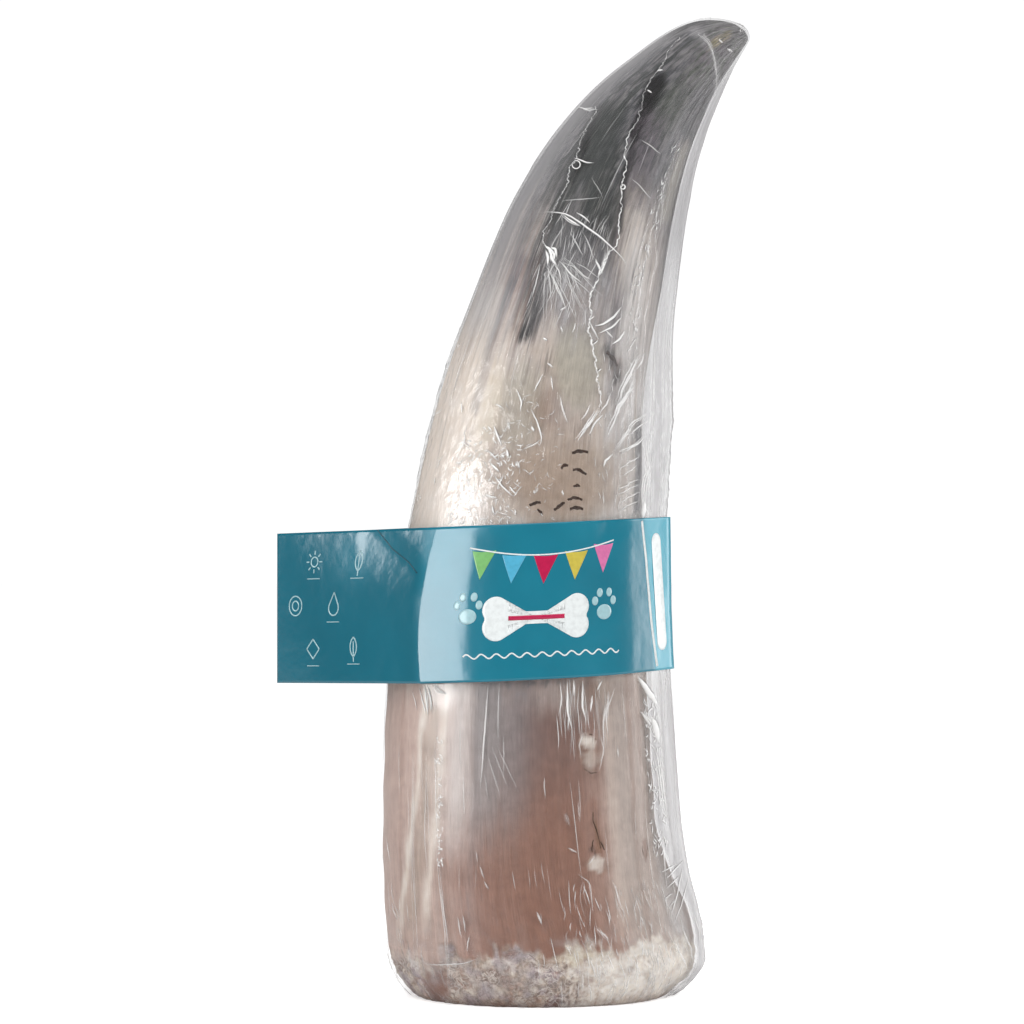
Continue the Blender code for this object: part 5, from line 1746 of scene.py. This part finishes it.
# %% The white room
# How bright the room is as light on a surface, in a mirror and to the camera
ROOM_LIGHT, ROOM_MIRRORED, ROOM_SEEN = 0.5, 0.15, 1.05
world = bpy.data.worlds.new("white_room")
bpy.context.scene.world = world
world.use_nodes = True
tree = world.node_tree
tree.nodes.clear()
rays = node(tree, "LightPath")
lit = node(tree, "Background", Color=(1, 1, 1, 1), Strength=ROOM_LIGHT)
dim = node(tree, "Background", Color=(1, 1, 1, 1), Strength=ROOM_MIRRORED)
plain = node(tree, "Background", Color=(1, 1, 1, 1), Strength=ROOM_SEEN)
mirrored = node(tree, "MixShader", {0: rays.outputs["Is Glossy Ray"], 1: lit, 2: dim})
pick = node(tree, "MixShader", {0: rays.outputs["Is Camera Ray"], 1: mirrored, 2: plain})
node(tree, "OutputWorld", {"Surface": pick})
# An even world is found well by the surfaces' own rays, which also tell mirrored light from soft light
world.cycles.sampling_method = "NONE"
print(world.name, len(tree.nodes), "nodes")

# %% Softboxes
LIGHTS_AIM = 0.12


def softbox(name, turn, lift, away, wide, tall, radiance, diffuse=True, mirrored=True):
    """A rectangular light aimed at the horn's middle. turn is degrees from the camera's side, positive to
    +X; radiance in multiples of white."""
    light = bpy.data.lights.new(name, "AREA")
    light.shape = "RECTANGLE"
    light.size, light.size_y = wide, tall
    light.energy = radiance * math.pi * wide * tall
    lamp = bpy.data.objects.new(name, light)
    bpy.context.scene.collection.objects.link(lamp)
    a, e = math.radians(turn), math.radians(lift)
    x, y = away * math.sin(a) * math.cos(e), -away * math.cos(a) * math.cos(e)
    lamp.location = (x, y, LIGHTS_AIM + away * math.sin(e))
    lamp.rotation_euler = (math.pi / 2 - e, 0, a)
    lamp.visible_camera = False
    lamp.visible_diffuse, lamp.visible_glossy = diffuse, mirrored


softbox("softbox_left", -64, 7.0, 1.3, 1.15, 0.60, 9.0, diffuse=False)
softbox("softbox_left_fill", -42, 35, 1.6, 1.2, 1.0, 2.6, mirrored=False)
softbox("softbox_right_fill", 60, 22, 1.6, 1.0, 1.0, 1.8, mirrored=False)
softbox("strip_right", 123, 6, 1.2, 0.34, 0.9, 4.0)
softbox("top_light", 10, 80, 1.6, 1.5, 1.5, 1.2)
print(len(bpy.data.lights), "lights")

# %% The camera
camera = bpy.data.cameras.new("camera")
SENSOR_MM = 36.0
camera.lens = SENSOR_MM * CAMERA_AWAY / (FRAME_PX * MM_PER_PIXEL)
camera.sensor_width = SENSOR_MM
camera.clip_end = 20
shot = bpy.data.objects.new("camera", camera)
shot.location = (0, -CAMERA_AWAY * MM, CAMERA_HIGH * MM)
shot.rotation_euler = (math.pi / 2, 0, 0)
bpy.context.scene.collection.objects.link(shot)
bpy.context.scene.camera = shot
bpy.context.scene.view_settings.view_transform = "Standard"
# A ray can cross this many clear walls of film and folds
bpy.context.scene.cycles.transparent_max_bounces = 24
print("lens", round(camera.lens, 1), "mm")

# %% [markdown]
# ## Bodies
# Nothing on the object moves, so every piece rides on the one body. Three of them take the place of the CAD
# nodes.

# %% Ride and replace
for piece, cad_node, slot in (
    (horn, "horn", "horn"), (film, "film_wrap", "film"), (label, "label_band", "label"),
):
    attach(piece, "root")
    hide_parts(cad_node)
for piece in film_pieces[1:]:
    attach(piece, "root")
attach(cracks, "root")
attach(inks, "root")
print("all on the one body:", *(piece.name for piece in (horn, label, cracks, inks, *film_pieces)))
